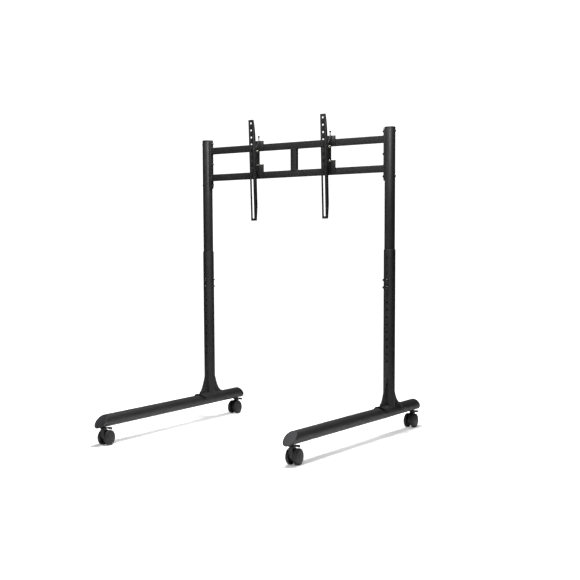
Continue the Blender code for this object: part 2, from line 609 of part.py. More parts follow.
def build_hook(side, x):
    """The bent sheet that hangs on the upper bar, rests on the lower one and carries the arm's pivot."""
    lock_middle = (PIVOT_Y + LOCK_BELOW_PIVOT * math.sin(LOCK_SWING),
                   PIVOT_Z - LOCK_BELOW_PIVOT * math.cos(LOCK_SWING))
    slot = stadium(lock_middle, *LOCK_SLOT, math.degrees(LOCK_SWING))
    ear = plate_mesh("ear", [EAR_OUTLINE, circle((PIVOT_Y, PIVOT_Z), BOLT_HOLE), slot], HOOK_SHEET)
    hook = add(f"{side}_arm_hook", ear, POWDER, in_yz_plane(x + EAR_INNER + HOOK_SHEET / 2))
    bar_side = BAR_DEPTH / 2 + BAR_CLEARANCE
    upper_bar_bottom = UPPER_BAR_Z - BAR_HEIGHT / 2
    lower_bar_bottom = LOWER_BAR_Z - BAR_HEIGHT / 2
    # Each sheet ends a little inside or outside its neighbours, so no two faces lie in one plane.
    sheets = {
        "upper_lip": ((HOOK_LEFT + OVERLAP, HOOK_RIGHT), (-bar_side - HOOK_SHEET, -bar_side),
                      (upper_bar_bottom + 0.0015, HOOK_TOP - OVERLAP)),
        "lower_lip": ((EAR_INNER + OVERLAP, HOOK_RIGHT), (-bar_side - HOOK_SHEET, -bar_side),
                      (lower_bar_bottom + 0.0020, LOWER_LIP_TOP)),
        "top": ((HOOK_LEFT, HOOK_TOP_RIGHT), (OVERLAP - bar_side - HOOK_SHEET, bar_side + HOOK_SHEET),
                (HOOK_TOP - HOOK_SHEET, HOOK_TOP)),
        "back": ((HOOK_LEFT + OVERLAP, HOOK_TOP_RIGHT - OVERLAP), (bar_side, bar_side + HOOK_SHEET - OVERLAP),
                 (HOOK_TOP - HOOK_BACK_DROP, HOOK_TOP - OVERLAP)),
    }
    for name, spans in sheets.items():
        size = [high - low for low, high in spans]
        centre = [(high + low) / 2 for low, high in spans]
        tool = add(f"{side}_hook_{name}", box_mesh(name, size), None, Matrix.Translation((x, 0, 0)))
        tool.data.transform(Matrix.Translation(centre))
        boolean(hook, tool, "UNION")
    screw_hole = cylinder_mesh("screw_hole", LEVEL_SCREW_SHANK + GAP, 0.02, 12)
    screw_x = x + LEVEL_SCREW_X
    boolean(hook, add(f"{side}_screw_hole", screw_hole, None, Matrix.Translation((screw_x, 0, HOOK_TOP))))
    under_head = LEVEL_SCREW_TOP - LEVEL_SCREW_HEAD[1]
    bar_top = UPPER_BAR_Z + BAR_HEIGHT / 2
    bolt(f"{side}_levelling_screw", ZINC, Matrix.Translation((screw_x, 0, under_head)), *LEVEL_SCREW_HEAD,
         LEVEL_SCREW_SHANK, under_head - bar_top - GAP)


for foot_side in SIGN:
    axis = foot_frame(foot_side)
    build_foot(foot_side, axis)
    build_foot_saddle(foot_side, axis)
    for end in ("front", "rear"):
        build_caster(foot_side, end, axis)
    build_lower_post(foot_side, axis)
    build_upper_post(foot_side)
    build_end_saddle(foot_side)
build_crossbars()
for arm_side, arm_x in (("left", LEFT_ARM_X), ("right", RIGHT_ARM_X)):
    build_arm(arm_side, arm_x)
    build_hook(arm_side, arm_x)

for piece in parts.objects:
    if piece.type == "MESH":
        piece.data.set_sharp_from_angle(angle=math.radians(35))
for made in (parts, cutters):
    for piece in made.objects:
        if piece.parent is None:
            piece.location.y += POSTS_FROM_ORIGIN
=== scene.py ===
# %% [markdown]
# This lesson dresses a rolling monitor stand. Its sizes, joints and plain solids are already
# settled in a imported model, and this script gives each of them its finished shape and surface.
# The first cell loads that model as a fixed frame. Everything later is measured from it.

# %% Load the frame
import itertools
import json
import math

import bmesh
import bpy
from mathutils import Matrix, Vector
from mathutils.geometry import interpolate_bezier


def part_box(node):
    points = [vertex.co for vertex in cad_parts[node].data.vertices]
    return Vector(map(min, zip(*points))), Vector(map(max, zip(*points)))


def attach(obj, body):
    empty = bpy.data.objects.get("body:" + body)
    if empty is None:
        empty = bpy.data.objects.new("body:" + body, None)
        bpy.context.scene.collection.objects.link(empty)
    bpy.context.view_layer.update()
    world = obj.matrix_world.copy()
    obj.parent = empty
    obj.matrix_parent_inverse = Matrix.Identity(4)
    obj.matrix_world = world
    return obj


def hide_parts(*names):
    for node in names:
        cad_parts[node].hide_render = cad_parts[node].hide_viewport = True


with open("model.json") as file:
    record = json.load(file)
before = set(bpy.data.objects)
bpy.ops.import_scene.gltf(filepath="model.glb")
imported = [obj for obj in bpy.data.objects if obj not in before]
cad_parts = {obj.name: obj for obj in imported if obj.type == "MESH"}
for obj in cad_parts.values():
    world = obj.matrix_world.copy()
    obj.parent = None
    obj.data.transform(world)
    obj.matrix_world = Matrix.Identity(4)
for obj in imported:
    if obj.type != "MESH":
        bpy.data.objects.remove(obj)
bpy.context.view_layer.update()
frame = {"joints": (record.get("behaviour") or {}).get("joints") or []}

# %% [markdown]
# The camera comes first, because every later choice is judged through it. The photograph was taken
# from a little above the middle of the stand, to the right of the screen side, with a longish lens.
# A camera looks along its own -Z, so it is rolled, tipped up to the horizon less its dip, and
# turned. The small shift only moves the picture to where the photograph has the stand.

# %% Camera
CAMERA_PLACE = (2.31826, -3.86054, 0.74365)
CAMERA_TURN = math.radians(30.7126)
CAMERA_DIP = math.radians(5.1401)
CAMERA_ROLL = math.radians(-0.3422)
CAMERA_LENS = 65.69
CAMERA_SHIFT = (0.03893, 0.11538)
QUARTER = math.pi / 2


def at(x, y, z):
    """A matrix that moves by a distance."""
    return Matrix.Translation((x, y, z))


def turn(angle, axis):
    """A matrix that turns by an angle about the X, Y or Z axis."""
    return Matrix.Rotation(angle, 4, axis)


bpy.ops.object.camera_add()
camera = bpy.context.object
camera.name = "camera"
camera.matrix_world = (at(*CAMERA_PLACE) @ turn(CAMERA_TURN, "Z") @ turn(QUARTER - CAMERA_DIP, "X")
                       @ turn(CAMERA_ROLL, "Z"))
camera.data.lens = CAMERA_LENS
camera.data.shift_x, camera.data.shift_y = CAMERA_SHIFT
bpy.context.scene.camera = camera
print(f"camera: {CAMERA_LENS} mm lens, {math.dist(CAMERA_PLACE, (0, 0, 0.6)):.2f} m away")

# %% [markdown]
# Operators work on whatever is selected, and loading leaves the whole frame selected. These few
# helpers keep that in hand: they clear the selection, make a single object active, and go into
# edit mode with everything selected or only the faces or edges that a test picks.

# %% Selection helpers
UP = Vector((0, 0, 1))
HAIR = 0.00001        # too small to see: places this close count as one


def nothing_selected():
    """Leave edit mode and deselect every object."""
    if bpy.context.object and bpy.context.object.mode != "OBJECT":
        bpy.ops.object.mode_set(mode="OBJECT")
    bpy.ops.object.select_all(action="DESELECT")


def only(obj):
    """Select one object and make it active."""
    nothing_selected()
    obj.select_set(True)
    bpy.context.view_layer.objects.active = obj


def edit(obj, kind="FACE", action="SELECT"):
    """Go into edit mode with all of an object selected, or none of it."""
    only(obj)
    bpy.ops.object.mode_set(mode="EDIT")
    bpy.ops.mesh.select_mode(type=kind)
    bpy.ops.mesh.select_all(action=action)


def pick(obj, test, kind="FACE"):
    """Go into edit mode with only the faces or edges selected that pass a test."""
    edit(obj, kind, "DESELECT")
    mesh = bmesh.from_edit_mesh(obj.data)
    mesh.normal_update()
    for part in (mesh.faces if kind == "FACE" else mesh.edges):
        part.select_set(bool(test(part)))
    bmesh.update_edit_mesh(obj.data)


def done(obj):
    """Leave edit mode and pass the object on."""
    bpy.ops.object.mode_set(mode="OBJECT")
    return obj


def facing(direction, reach=None):
    """A test for flat faces that look along a direction, at a distance along it if one is given."""
    direction = Vector(direction).normalized()

    def test(face):
        if face.normal.dot(direction) < 0.9995:
            return False
        return reach is None or abs(face.calc_center_median().dot(direction) - reach) < 5e-5
    return test


def on_plane(point, normal):
    """A test for edges that lie in a plane."""
    return lambda edge: all(abs((vertex.co - point).dot(normal)) < HAIR for vertex in edge.verts)


def along_axis(axis):
    """A test for edges that run along X, Y or Z."""
    return lambda edge: abs((edge.verts[0].co - edge.verts[1].co).normalized()[axis]) > 0.999


# %% [markdown]
# Nearly everything on this stand is cut tube, flat bar or sheet. So the workshop's stock is a round
# bar between two points, a block between two corners and a flat plate from an outline. A plate is
# made from a filled curve, because a curve takes an outline of any shape and fills it by itself.

# %% Stock: bars, blocks and plates


def move(obj, place):
    """Put an object somewhere and write the place into its mesh."""
    only(obj)
    obj.matrix_world = place
    bpy.ops.object.transform_apply()
    return obj


def cylinder(radius, start, end, sides=64):
    """A round bar between two points. Its outline has the given number of sides."""
    nothing_selected()
    start, end = Vector(start), Vector(end)
    axis = end - start
    bpy.ops.mesh.primitive_cylinder_add(vertices=sides, radius=radius, depth=axis.length,
                                        location=(start + end) / 2,
                                        rotation=axis.to_track_quat("Z", "Y").to_euler())
    bpy.ops.object.transform_apply()
    return bpy.context.object


def upright(radius, low, high, sides=64, place=(0, 0)):
    """A round bar along Z between two heights."""
    return cylinder(radius, (place[0], place[1], low), (place[0], place[1], high), sides)


def block(low, high):
    """A box between its lowest and highest corners."""
    nothing_selected()
    low, high = Vector(low), Vector(high)
    bpy.ops.mesh.primitive_cube_add(size=1, location=(low + high) / 2)
    bpy.context.object.scale = high - low
    bpy.ops.object.transform_apply()
    return bpy.context.object


def settle(thing, settings):
    """Write settings into a curve, a modifier or a shader node."""
    for label, value in settings.items():
        setattr(thing, label, value)
    return thing


def curve_mesh(points, radii=None, cyclic=False, **settings):
    """A curve through points, turned into a closed mesh. Radii swell it where it is round."""
    nothing_selected()
    curve = settle(bpy.data.curves.new("curve", "CURVE"), settings)
    spline = curve.splines.new("POLY")
    spline.points.add(len(points) - 1)
    spline.use_cyclic_u = cyclic
    for point, place, radius in zip(spline.points, points, radii or [1] * len(points)):
        point.co = (*place, 1)
        point.radius = radius
    obj = bpy.data.objects.new("curve", curve)
    bpy.context.collection.objects.link(obj)
    only(obj)
    bpy.ops.object.convert(target="MESH")
    edit(obj)
    bpy.ops.mesh.remove_doubles(threshold=1e-6)
    bpy.ops.mesh.normals_make_consistent(inside=False)
    return done(obj)


def plate(outline, thickness):
    """A flat outline of (y, z) points, filled and given its thickness along X."""
    flat = curve_mesh([(y, z, 0) for y, z in outline], cyclic=True, dimensions="2D", fill_mode="BOTH",
                      extrude=thickness / 2)
    return move(flat, Matrix(((0, 0, 1, 0), (1, 0, 0, 0), (0, 1, 0, 0), (0, 0, 0, 1))))


def copied(obj, place):
    """A copy with its own mesh, moved by a matrix."""
    twin = obj.copy()
    twin.data = obj.data.copy()
    bpy.context.collection.objects.link(twin)
    return move(twin, place)


def joined(pieces):
    """Several objects made into one, without merging their shapes."""
    nothing_selected()
    for piece in pieces:
        piece.select_set(True)
    bpy.context.view_layer.objects.active = pieces[0]
    bpy.ops.object.join()
    return pieces[0]


# %% [markdown]
# The tools come next. A Boolean cuts a hole or welds a part on, Bisect saws straight through, and
# a bevel eases edges, because no real edge is perfectly sharp. A dish, a dome or a groove is made
# by stepping a flat face in again and again, much as a lathe would turn it.

# %% Tools: cut, weld, trim and round


def modified(obj, kind, **settings):
    """Give an object a modifier with its settings, and apply it."""
    modifier = settle(obj.modifiers.new(kind, kind), settings)
    only(obj)
    bpy.ops.object.modifier_apply(modifier=modifier.name)
    return obj


def shape(obj, tool, operation="DIFFERENCE"):
    """Cut a tool away from an object, or weld it on with UNION. The tool is used up."""
    modified(obj, "BOOLEAN", operation=operation, object=tool)
    bpy.data.objects.remove(tool, do_unlink=True)
    return obj


def trim(obj, point, normal):
    """Saw off what lies on the side that the normal points to, and close the cut."""
    edit(obj)
    bpy.ops.mesh.bisect(plane_co=point, plane_no=normal, use_fill=True, clear_outer=True)
    return done(obj)


def soften(obj, width, segments=2):
    """Round the edges that turn more than 30 degrees."""
    return modified(obj, "BEVEL", width=width, segments=segments, limit_method="ANGLE",
                    angle_limit=math.radians(30))


def round_edges(obj, test, width, segments=3):
    """Round only the edges that a test picks."""
    pick(obj, test, "EDGE")
    bpy.ops.mesh.bevel(offset=width, segments=segments, affect="EDGES")
    return done(obj)


def step_in(obj, test, steps):
    """Inset a flat face again and again. A step is how far in, then how far out along its normal."""
    pick(obj, test)
    for inward, outward in steps:
        bpy.ops.mesh.inset(thickness=inward, depth=outward)
    return done(obj)


def draw_out(*value):
    """Extrude what is selected by a distance."""
    bpy.ops.mesh.extrude_region_move(TRANSFORM_OT_translate={"value": value})


# %% [markdown]
# Two effects turn up on several surfaces, so each is a node group with its own inputs. Film makes
# the fine skin of a sprayed or moulded surface together with slow patches of tone. Marks makes
# the sparse, thin rubs that handling leaves. Both read Object coordinates, which stay with a piece
# when it moves, and put out plain values that a material can use as it likes.

# %% Shared surface effects


def feed(tree, node, inputs):
    """Set a node's inputs to numbers and colours, or link them to other nodes' outputs."""
    for label, value in inputs.items():
        if isinstance(value, bpy.types.NodeSocket):
            tree.links.new(value, node.inputs[label])
        else:
            node.inputs[label].default_value = value
    return node


def add_node(tree, kind, inputs, **settings):
    """A shader node's outputs, after its settings and inputs are made."""
    return feed(tree, settle(tree.nodes.new("ShaderNode" + kind), settings), inputs).outputs


def math_node(tree, operation, first, second):
    return add_node(tree, "Math", {0: first, 1: second}, operation=operation)[0]


def ranged(tree, value, low, high, out_low, out_high):
    """A value taken from one range to another."""
    return add_node(tree, "MapRange", {"Value": value, "From Min": low, "From Max": high,
                                       "To Min": out_low, "To Max": out_high})["Result"]


def noise(tree, vector, scale, detail, roughness=0.5):
    return add_node(tree, "TexNoise", {"Vector": vector, "Scale": scale, "Detail": detail,
                                       "Roughness": roughness})["Fac"]


def object_place(tree):
    return add_node(tree, "TexCoord", {})["Object"]


def node_group(name, inputs, outputs):
    """An empty shader group with value inputs and outputs, and a Vector input in front."""
    tree = bpy.data.node_groups.new(name, "ShaderNodeTree")
    tree.interface.new_socket("Vector", in_out="INPUT", socket_type="NodeSocketVector")
    for label, value in inputs.items():
        socket = tree.interface.new_socket(label, in_out="INPUT", socket_type="NodeSocketFloat")
        socket.default_value = value
    for label in outputs:
        tree.interface.new_socket(label, in_out="OUTPUT", socket_type="NodeSocketFloat")
    return tree, tree.nodes.new("NodeGroupInput").outputs, tree.nodes.new("NodeGroupOutput")


def make_film():
    tree, given, result = node_group("film", {"Patch Scale": 9.0, "Skin Scale": 1200.0}, ["Patches", "Skin"])
    vector, fine = given["Vector"], given["Skin Scale"]
    cells = add_node(tree, "TexVoronoi", {"Vector": vector, "Scale": fine}, feature="SMOOTH_F1")["Distance"]
    skin = math_node(tree, "ADD", math_node(tree, "MULTIPLY", cells, 0.6), noise(tree, vector, fine, 2.0))
    feed(tree, result, {"Patches": noise(tree, vector, given["Patch Scale"], 4.0, 0.6), "Skin": skin})
    return tree


def make_marks():
    tree, given, result = node_group("marks", {"Scale": 40.0, "Amount": 0.5}, ["Mask"])
    vector = given["Vector"]
    drawn = add_node(tree, "Mapping", {"Vector": vector, "Rotation": (0.5, 0.3, 0.9),
                                       "Scale": (1.0, 9.0, 4.0)})
    thin = ranged(tree, noise(tree, drawn["Vector"], given["Scale"], 5.0, 0.65), 0.66, 0.74, 0.0, 1.0)
    where = ranged(tree, noise(tree, vector, 7.0, 2.0), 0.45, 0.62, 0.0, 1.0)
    mask = math_node(tree, "MULTIPLY", math_node(tree, "MULTIPLY", thin, where), given["Amount"])
    feed(tree, result, {"Mask": mask})
    return tree


film = make_film()
marks = make_marks()
print("shared effects:", film.name, marks.name)

# %% [markdown]
# Powder coat is sprayed on as dust and baked. The upper frame's is a satin black with a little
# orange peel. The feet, lower posts and hooks wear a darker one with a fine texture, which hides
# knocks. Plugs and caster bodies are moulded in black plastic, wheels in a dark grey nylon with a
# softer tread. Bolts are blackened steel or zinc. All finishes are made by one function, since
# they differ only in tone, gloss, grain and how plainly the rubs show.

# %% Finishes
# name: slot, dark tone, light tone, gloss range, patch scale, skin scale, skin depth, metal, rubs
FINISHES = {
    "satin_coat": ("black_powder_coat", (0.0150, 0.0150, 0.0161), (0.0196, 0.0194, 0.0207), (0.38, 0.48),
                   9.0, 1100.0, 0.00005, 0.0, 0.35),
    "textured_coat": ("black_powder_coat", (0.0064, 0.0062, 0.0065), (0.0096, 0.0093, 0.0097), (0.54, 0.62),
                      9.0, 480.0, 0.00024, 0.0, 0.25),
    "moulded_black": ("black_plastic", (0.0065, 0.0065, 0.0070), (0.0092, 0.0091, 0.0098), (0.38, 0.48),
                      25.0, 1800.0, 0.00003, 0.0, 0.3),
    # cap_grey: the post caps' tone, and a painted reflection on the foot caps' slanted panels
    "cap_grey": ("black_plastic", (0.0205, 0.0192, 0.0218), (0.0262, 0.0246, 0.0275), (0.44, 0.52),
                 30.0, 1500.0, 0.00004, 0.0, 0.2),
    "wheel_nylon": ("caster_plastic", (0.0062, 0.0059, 0.0064), (0.0092, 0.0087, 0.0094), (0.48, 0.60),
                    40.0, 2000.0, 0.00003, 0.0, 0.5),
    "tread_rubber": ("caster_plastic", (0.0100, 0.0100, 0.0105), (0.0230, 0.0220, 0.0210), (0.62, 0.78),
                     60.0, 900.0, 0.00008, 0.0, 0.8),
    "black_steel": ("black_bolt", (0.042, 0.042, 0.046), (0.105, 0.104, 0.110), (0.20, 0.30),
                    120.0, 2500.0, 0.00002, 0.85, 0.6),
    "zinc_plate": ("zinc_screw", (0.29, 0.275, 0.245), (0.44, 0.425, 0.385), (0.32, 0.46),
                   150.0, 2500.0, 0.00002, 1.0, 0.5),
}


def finish_of(name, dark, light, gloss_range, patch_scale, skin_scale, skin_depth, metallic, rubs):
    """A Principled material with patches of tone and gloss, a skin in its bump and a few rubs."""
    material = bpy.data.materials.new(name)
    material.use_nodes = True
    tree = material.node_tree
    place = object_place(tree)
    skin = add_node(tree, "Group", {"Vector": place, "Patch Scale": patch_scale, "Skin Scale": skin_scale},
                    node_tree=film)
    rub = add_node(tree, "Group", {"Vector": place, "Amount": rubs}, node_tree=marks)["Mask"]
    patch = math_node(tree, "MAXIMUM", ranged(tree, skin["Patches"], 0.35, 0.65, 0.0, 1.0), rub)
    tone = add_node(tree, "Mix", {"Factor": patch, "A": (*dark, 1), "B": (*light, 1)}, data_type="RGBA")
    gloss = ranged(tree, skin["Patches"], 0.3, 0.7, *gloss_range)
    bump = add_node(tree, "Bump", {"Height": skin["Skin"], "Distance": skin_depth, "Strength": 0.6})
    feed(tree, tree.nodes["Principled BSDF"], {
        "Base Color": tone["Result"], "Metallic": metallic, "Normal": bump["Normal"],
        "Roughness": math_node(tree, "ADD", gloss, math_node(tree, "MULTIPLY", rub, 0.12))})
    return material


finishes = {name: finish_of(name, *values) for name, (slot, *values) in FINISHES.items()}
print("finishes:", ", ".join(finishes))

# %% [markdown]
# Each finished piece is given three things: the body it moves with, its finish if it has none yet,
# and the plain solids that it stands for, which are hidden. One helper does this for all of them, after
# it has smoothed the round faces and kept the sharp edges crisp. It also prints each piece's size.

# %% Handing a piece over
handed_over = []


def hand_over(obj, name, body, finish, *nodes):
    """Name a finished piece, shade it, tie it to its body and hide the solids it replaces."""
    only(obj)
    bpy.ops.object.shade_smooth_by_angle(angle=math.radians(32))
    obj.name = obj.data.name = name
    if not obj.data.materials:
        obj.data.materials.append(finishes[finish])
    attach(obj, body)
    if nodes:
        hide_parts(*nodes)
    handed_over.append(name)
    size = " x ".join(f"{length * 1000:.1f}" for length in obj.dimensions)
    print(f"{name}: {size} mm, {len(obj.data.polygons)} faces")


# %% [markdown]
# The stand has a left and a right half with the same pieces. All places on a foot are counted from
# the point where the post stands on it, so each side has a frame there whose Y runs along the foot.
# The direction comes from the two caster swivels, because the feet toe in a little.

# %% Places on the frame
SIDES = {"left": -1, "right": 1}
GAP = 0.0003


def middle(node):
    return sum(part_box(node), Vector()) / 2


def extent(node):
    low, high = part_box(node)
    return high - low


foot_radius = extent("left_foot_tube").z / 2
foot_height = middle("left_foot_tube").z
lower_radius = extent("left_lower_post").x / 2
upper_radius = extent("left_upper_post").x / 2
lower_posts = {side: middle(f"{side}_lower_post") for side in SIDES}
upper_posts = {side: middle(f"{side}_upper_post") for side in SIDES}
joints = {joint["name"]: joint for joint in frame["joints"]}


def joint_place(name):
    return Vector(joints[name]["pos_m"])


def foot_frame(side):
    """A matrix at the foot's axis under the post, with Y along the foot."""
    along = (joint_place(f"{side}_rear_swivel") - joint_place(f"{side}_front_swivel")).normalized()
    turned = Matrix((along.cross(UP), along, UP)).transposed().to_4x4()
    return at(lower_posts[side].x, lower_posts[side].y, foot_height) @ turned


foot_frames = {side: foot_frame(side) for side in SIDES}
for side, place in foot_frames.items():
    print(f"{side} foot frame at {tuple(round(v, 4) for v in place.translation)}")

# %% [markdown]
# A foot is one length of 51 mm tube, sawn off at a slant at both ends. It starts as a solid bar,
# is bored, and is then cut with big blocks whose faces lie in the slanted planes. A Bisect would
# not close a ring-shaped cut well, so Booleans do it here.

# %% Feet
FOOT_WALL = 0.0025
FOOT_SIDES = 72
FOOT_ENDS = {"front": (-0.8263, 1.08, -1), "rear": (0.2644, -0.68, 1)}    # place, slope, way out
CORNERS = [(side, end) for side in SIDES for end in FOOT_ENDS]
STEM_HOLE = 0.0056
SAW_BLOCK = 0.3


def foot_bar(radius, low, high):
    """A round bar along the foot's axis."""
    return cylinder(radius, (0, low, 0), (0, high, 0), FOOT_SIDES)


def end_plane(end, ahead=0.0):
    """A point on a slanted end plane, moved outward by a distance, and the plane's outward normal."""
    place, slope, outward = FOOT_ENDS[end]
    return Vector((0, place + outward * ahead, 0)), outward * Vector((0, 1, -slope)).normalized()


def slanted_block(point, normal):
    """A big block that fills everything beyond a plane, near one point of it."""
    half = Vector((SAW_BLOCK / 2,) * 3)
    turned = normal.to_track_quat("Z", "X").to_matrix().to_4x4()
    return move(block(-half, half), at(*(point + normal * SAW_BLOCK / 2)) @ turned)


for side in SIDES:
    low, high = (FOOT_ENDS[end][0] for end in ("front", "rear"))
    tube = foot_bar(foot_radius, low - 0.05, high + 0.05)
    shape(tube, foot_bar(foot_radius - FOOT_WALL, low - 0.1, high + 0.1))
    for end in FOOT_ENDS:
        shape(tube, slanted_block(*end_plane(end)))
        swivel = foot_frames[side].inverted() @ joint_place(f"{side}_{end}_swivel")
        shape(tube, upright(STEM_HOLE, -0.03, -0.015, 32, (0, swivel.y)))
    move(tube, foot_frames[side])
    hand_over(tube, f"{side}_foot", "base", "textured_coat", f"{side}_foot_tube")

# %% [markdown]
# The slanted ends are closed by moulded caps. A cap is a slice of a round bar between two slanted
# planes, so its rim follows the tube exactly. The rim is rounded, the face gets a shallow panel
# as moulded plugs have, and the back face is drawn out into the plug that holds it in the tube.
# The panel gets a lighter grey than the black rim: a painted reflection of the overhead light on its slanted
# face.

# %% Foot end caps
CAP_PLATE = 0.004
CAP_PLUG = 0.012
CAP_ROUNDING = 0.0011
CAP_PANEL = [(0.0016, 0), (0.0006, -0.0005)]


def in_plane(point, normal):
    """A test for faces that lie in a plane."""
    def test(face):
        return abs((face.calc_center_median() - point).dot(normal)) < HAIR and face.normal.dot(normal) > 0.99
    return test


for side, end in CORNERS:
    place, _, outward = FOOT_ENDS[end]
    cap = foot_bar(foot_radius, place - 0.06, place + 0.06)
    face_point, normal = end_plane(end, CAP_PLATE)
    back_point, _ = end_plane(end, GAP)
    trim(cap, face_point, normal)
    trim(cap, back_point, -normal)
    step_in(cap, in_plane(back_point, -normal), [(FOOT_WALL + 2 * GAP, 0)])
    pick(cap, lambda face: face.normal.dot(-normal) > 0.999 and len(face.verts) > 40)
    draw_out(0, -outward * CAP_PLUG, 0)
    round_edges(cap, on_plane(face_point, normal), CAP_ROUNDING)
    step_in(cap, in_plane(face_point, normal), CAP_PANEL)
    # The lighter grey cap_grey on the panel is a painted reflection; the rim keeps moulded_black.
    for finish in ("moulded_black", "cap_grey"):
        cap.data.materials.append(finishes[finish])
    for face in cap.data.polygons:
        face.material_index = int(face.normal.dot(normal) > 0.999 and len(face.vertices) > 40)
    move(cap, foot_frames[side])
    hand_over(cap, f"{side}_{end}_foot_cap", "base", "cap_grey", f"{side}_{end}_end_cap")

# %% [markdown]
# A strap is pressed over each foot and carries the post. It is a half pipe with raised rims at its
# leaning ends, a second ridge just behind the front one, and a flared fin before and behind the
# post. Ridges and fins are added first and the foot's own round is cut through all of them
# together, which leaves one clean inner wall. The fin's flare is a single Bezier stretch.

# %% Straps
STRAP_RADIUS = 0.0295
STRAP_FRONT, STRAP_REAR = -0.077, 0.063
STRAP_SLANT = 1.15
STRAP_SKIRT = -0.002
RIMS = ((-0.0770, 0.0036, -STRAP_SLANT, 0.0022), (-0.0655, 0.0028, -STRAP_SLANT, 0.0012),
        (0.0592, 0.0042, STRAP_SLANT, 0.0016))    # place along the foot, width, lean, height
FIN_THICKNESS = 0.006
FIN_FLARE = ((0.086, 0.138), (0.063, 0.146), (0.050, 0.188), (0.027, 0.247))    # along and up: toe to top
FIN_ROOT = 0.018


def strap_slice(radius, front, front_lean, rear, rear_lean):
    """A round bar about the foot's axis between two leaning planes."""
    bar = foot_bar(radius, front - 0.06, rear + 0.06)
    for place, slope, outward in ((front, front_lean, -1), (rear, rear_lean, 1)):
        trim(bar, (0, place, 0), outward * Vector((0, 1, -slope)))
    return bar


def fins():
    """Both fins as one plate, with the post's round cut out between them."""
    flare = interpolate_bezier(*[Vector(point) for point in FIN_FLARE], 16)
    edge = [(point.x, point.y - foot_height) for point in reversed(flare)]
    sunk = (foot_radius + STRAP_RADIUS) / 2
    rear = [(FIN_ROOT, edge[0][1])] + edge + [(FIN_FLARE[0][0], sunk)]
    made = plate(rear + [(-y, z) for y, z in reversed(rear)], FIN_THICKNESS)
    return shape(made, upright(lower_radius + GAP, 0, 0.3))


for side in SIDES:
    strap = strap_slice(STRAP_RADIUS, STRAP_FRONT, -STRAP_SLANT, STRAP_REAR, STRAP_SLANT)
    for place, width, lean, proud in RIMS:
        shape(strap, strap_slice(STRAP_RADIUS + proud, place, lean, place + width, lean), "UNION")
    shape(strap, fins(), "UNION")
    shape(strap, foot_bar(foot_radius + GAP, -0.2, 0.2))
    shape(strap, block((-0.05, -0.2, -0.05), (0.05, 0.2, STRAP_SKIRT)))
    soften(strap, 0.0005)
    move(strap, foot_frames[side])
    hand_over(strap, f"{side}_foot_strap", "base", "textured_coat", f"{side}_foot_saddle")

# %% [markdown]
# The lower post is a 50 mm tube with two rows of holes for the height bolts, one up its front and
# one up its inner side. One drill bit is modelled with a small flare, so that each hole gets an
# eased lip, then copied to every place and cut in one go. The foot of the post is coped to the strap.

# %% Lower posts
LOWER_BORE = 0.0229
HOLE_RADIUS = 0.0043
HOLE_PITCH = 0.0315
LOWEST_HOLE = 0.3165
HOLE_COUNT = 15
HOLE_ROWS = ("front", "inner")
BOLTED_HOLES = {"lower": 10, "upper": 11}
DRILL_FLARE = 1.25
POST_SIDES = 96


def onto_post(side, row, index, distance):
    """A matrix at a hole of a row, at a distance from the post's axis, with Z pointing outward."""
    post = lower_posts[side]
    outward = turn(QUARTER, "X") if row == "front" else turn(-SIDES[side] * QUARTER, "Y")
    return at(post.x, post.y, LOWEST_HOLE + HOLE_PITCH * index) @ outward @ at(0, 0, distance)


def drill():
    """A bit along Z whose upper end flares, with the post's skin at its origin."""
    bit = upright(HOLE_RADIUS, -0.006, -0.0004, 20)
    pick(bit, facing(UP))
    draw_out(0, 0, 0.0016)
    bpy.ops.transform.resize(value=(DRILL_FLARE, DRILL_FLARE, 1))
    return done(bit)


for side, post in lower_posts.items():
    low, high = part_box(f"{side}_lower_post")
    tube = upright(lower_radius, low.z - 0.02, high.z, POST_SIDES, post)
    shape(tube, upright(LOWER_BORE, 0, 1, POST_SIDES, post))
    soften(tube, 0.0010, 4)
    bit = drill()
    bits = [copied(bit, onto_post(side, row, index, lower_radius))
            for row in HOLE_ROWS for index in range(HOLE_COUNT)]
    bpy.data.objects.remove(bit)
    shape(tube, joined(bits))
    shape(tube, move(foot_bar(STRAP_RADIUS + GAP, -0.1, 0.1), foot_frames[side]))
    shape(tube, block((post.x - 0.05, post.y - 0.05, 0), (post.x + 0.05, post.y + 0.05, foot_height)))
    hand_over(tube, f"{side}_outer_post", "base", "textured_coat", f"{side}_lower_post")

# %% [markdown]
# The post is welded to its strap, and so are the fins. A weld bead is a row of overlapping ripples,
# so a bead is a tube along a path whose radius swells a little at every ripple. The path is worked
# out from the round that it follows. Beads that belong together are joined into one piece.

# %% Weld beads
RIPPLE = 0.0016
POST_BEAD = 0.0019
FIN_BEAD = 0.0013


def bead(path, radius):
    """A rippled tube along a list of points that lie close together."""
    last = len(path) - 1
    swell = [(1.0, 1.18)[index % 2] if 0 < index < last else 0.6 for index in range(len(path))]
    return curve_mesh(path, swell, dimensions="3D", bevel_depth=radius, bevel_resolution=2,
                      use_fill_caps=True)


def straight(start, end):
    """Points from one place to another, half a ripple apart."""
    start, end = Vector(start), Vector(end)
    steps = max(4, round((end - start).length / RIPPLE * 2))
    return [start.lerp(end, index / steps) for index in range(steps + 1)]


def around_post(start, end):
    """Points along the joint of post and strap, between two angles in degrees."""
    radius = lower_radius + 0.0004
    steps = round(math.radians(end - start) * radius / RIPPLE * 2)
    angles = (math.radians(start + (end - start) * index / steps) for index in range(steps + 1))
    return [Vector((radius * math.cos(a), radius * math.sin(a),
                    math.sqrt(STRAP_RADIUS ** 2 - (radius * math.cos(a)) ** 2))) for a in angles]


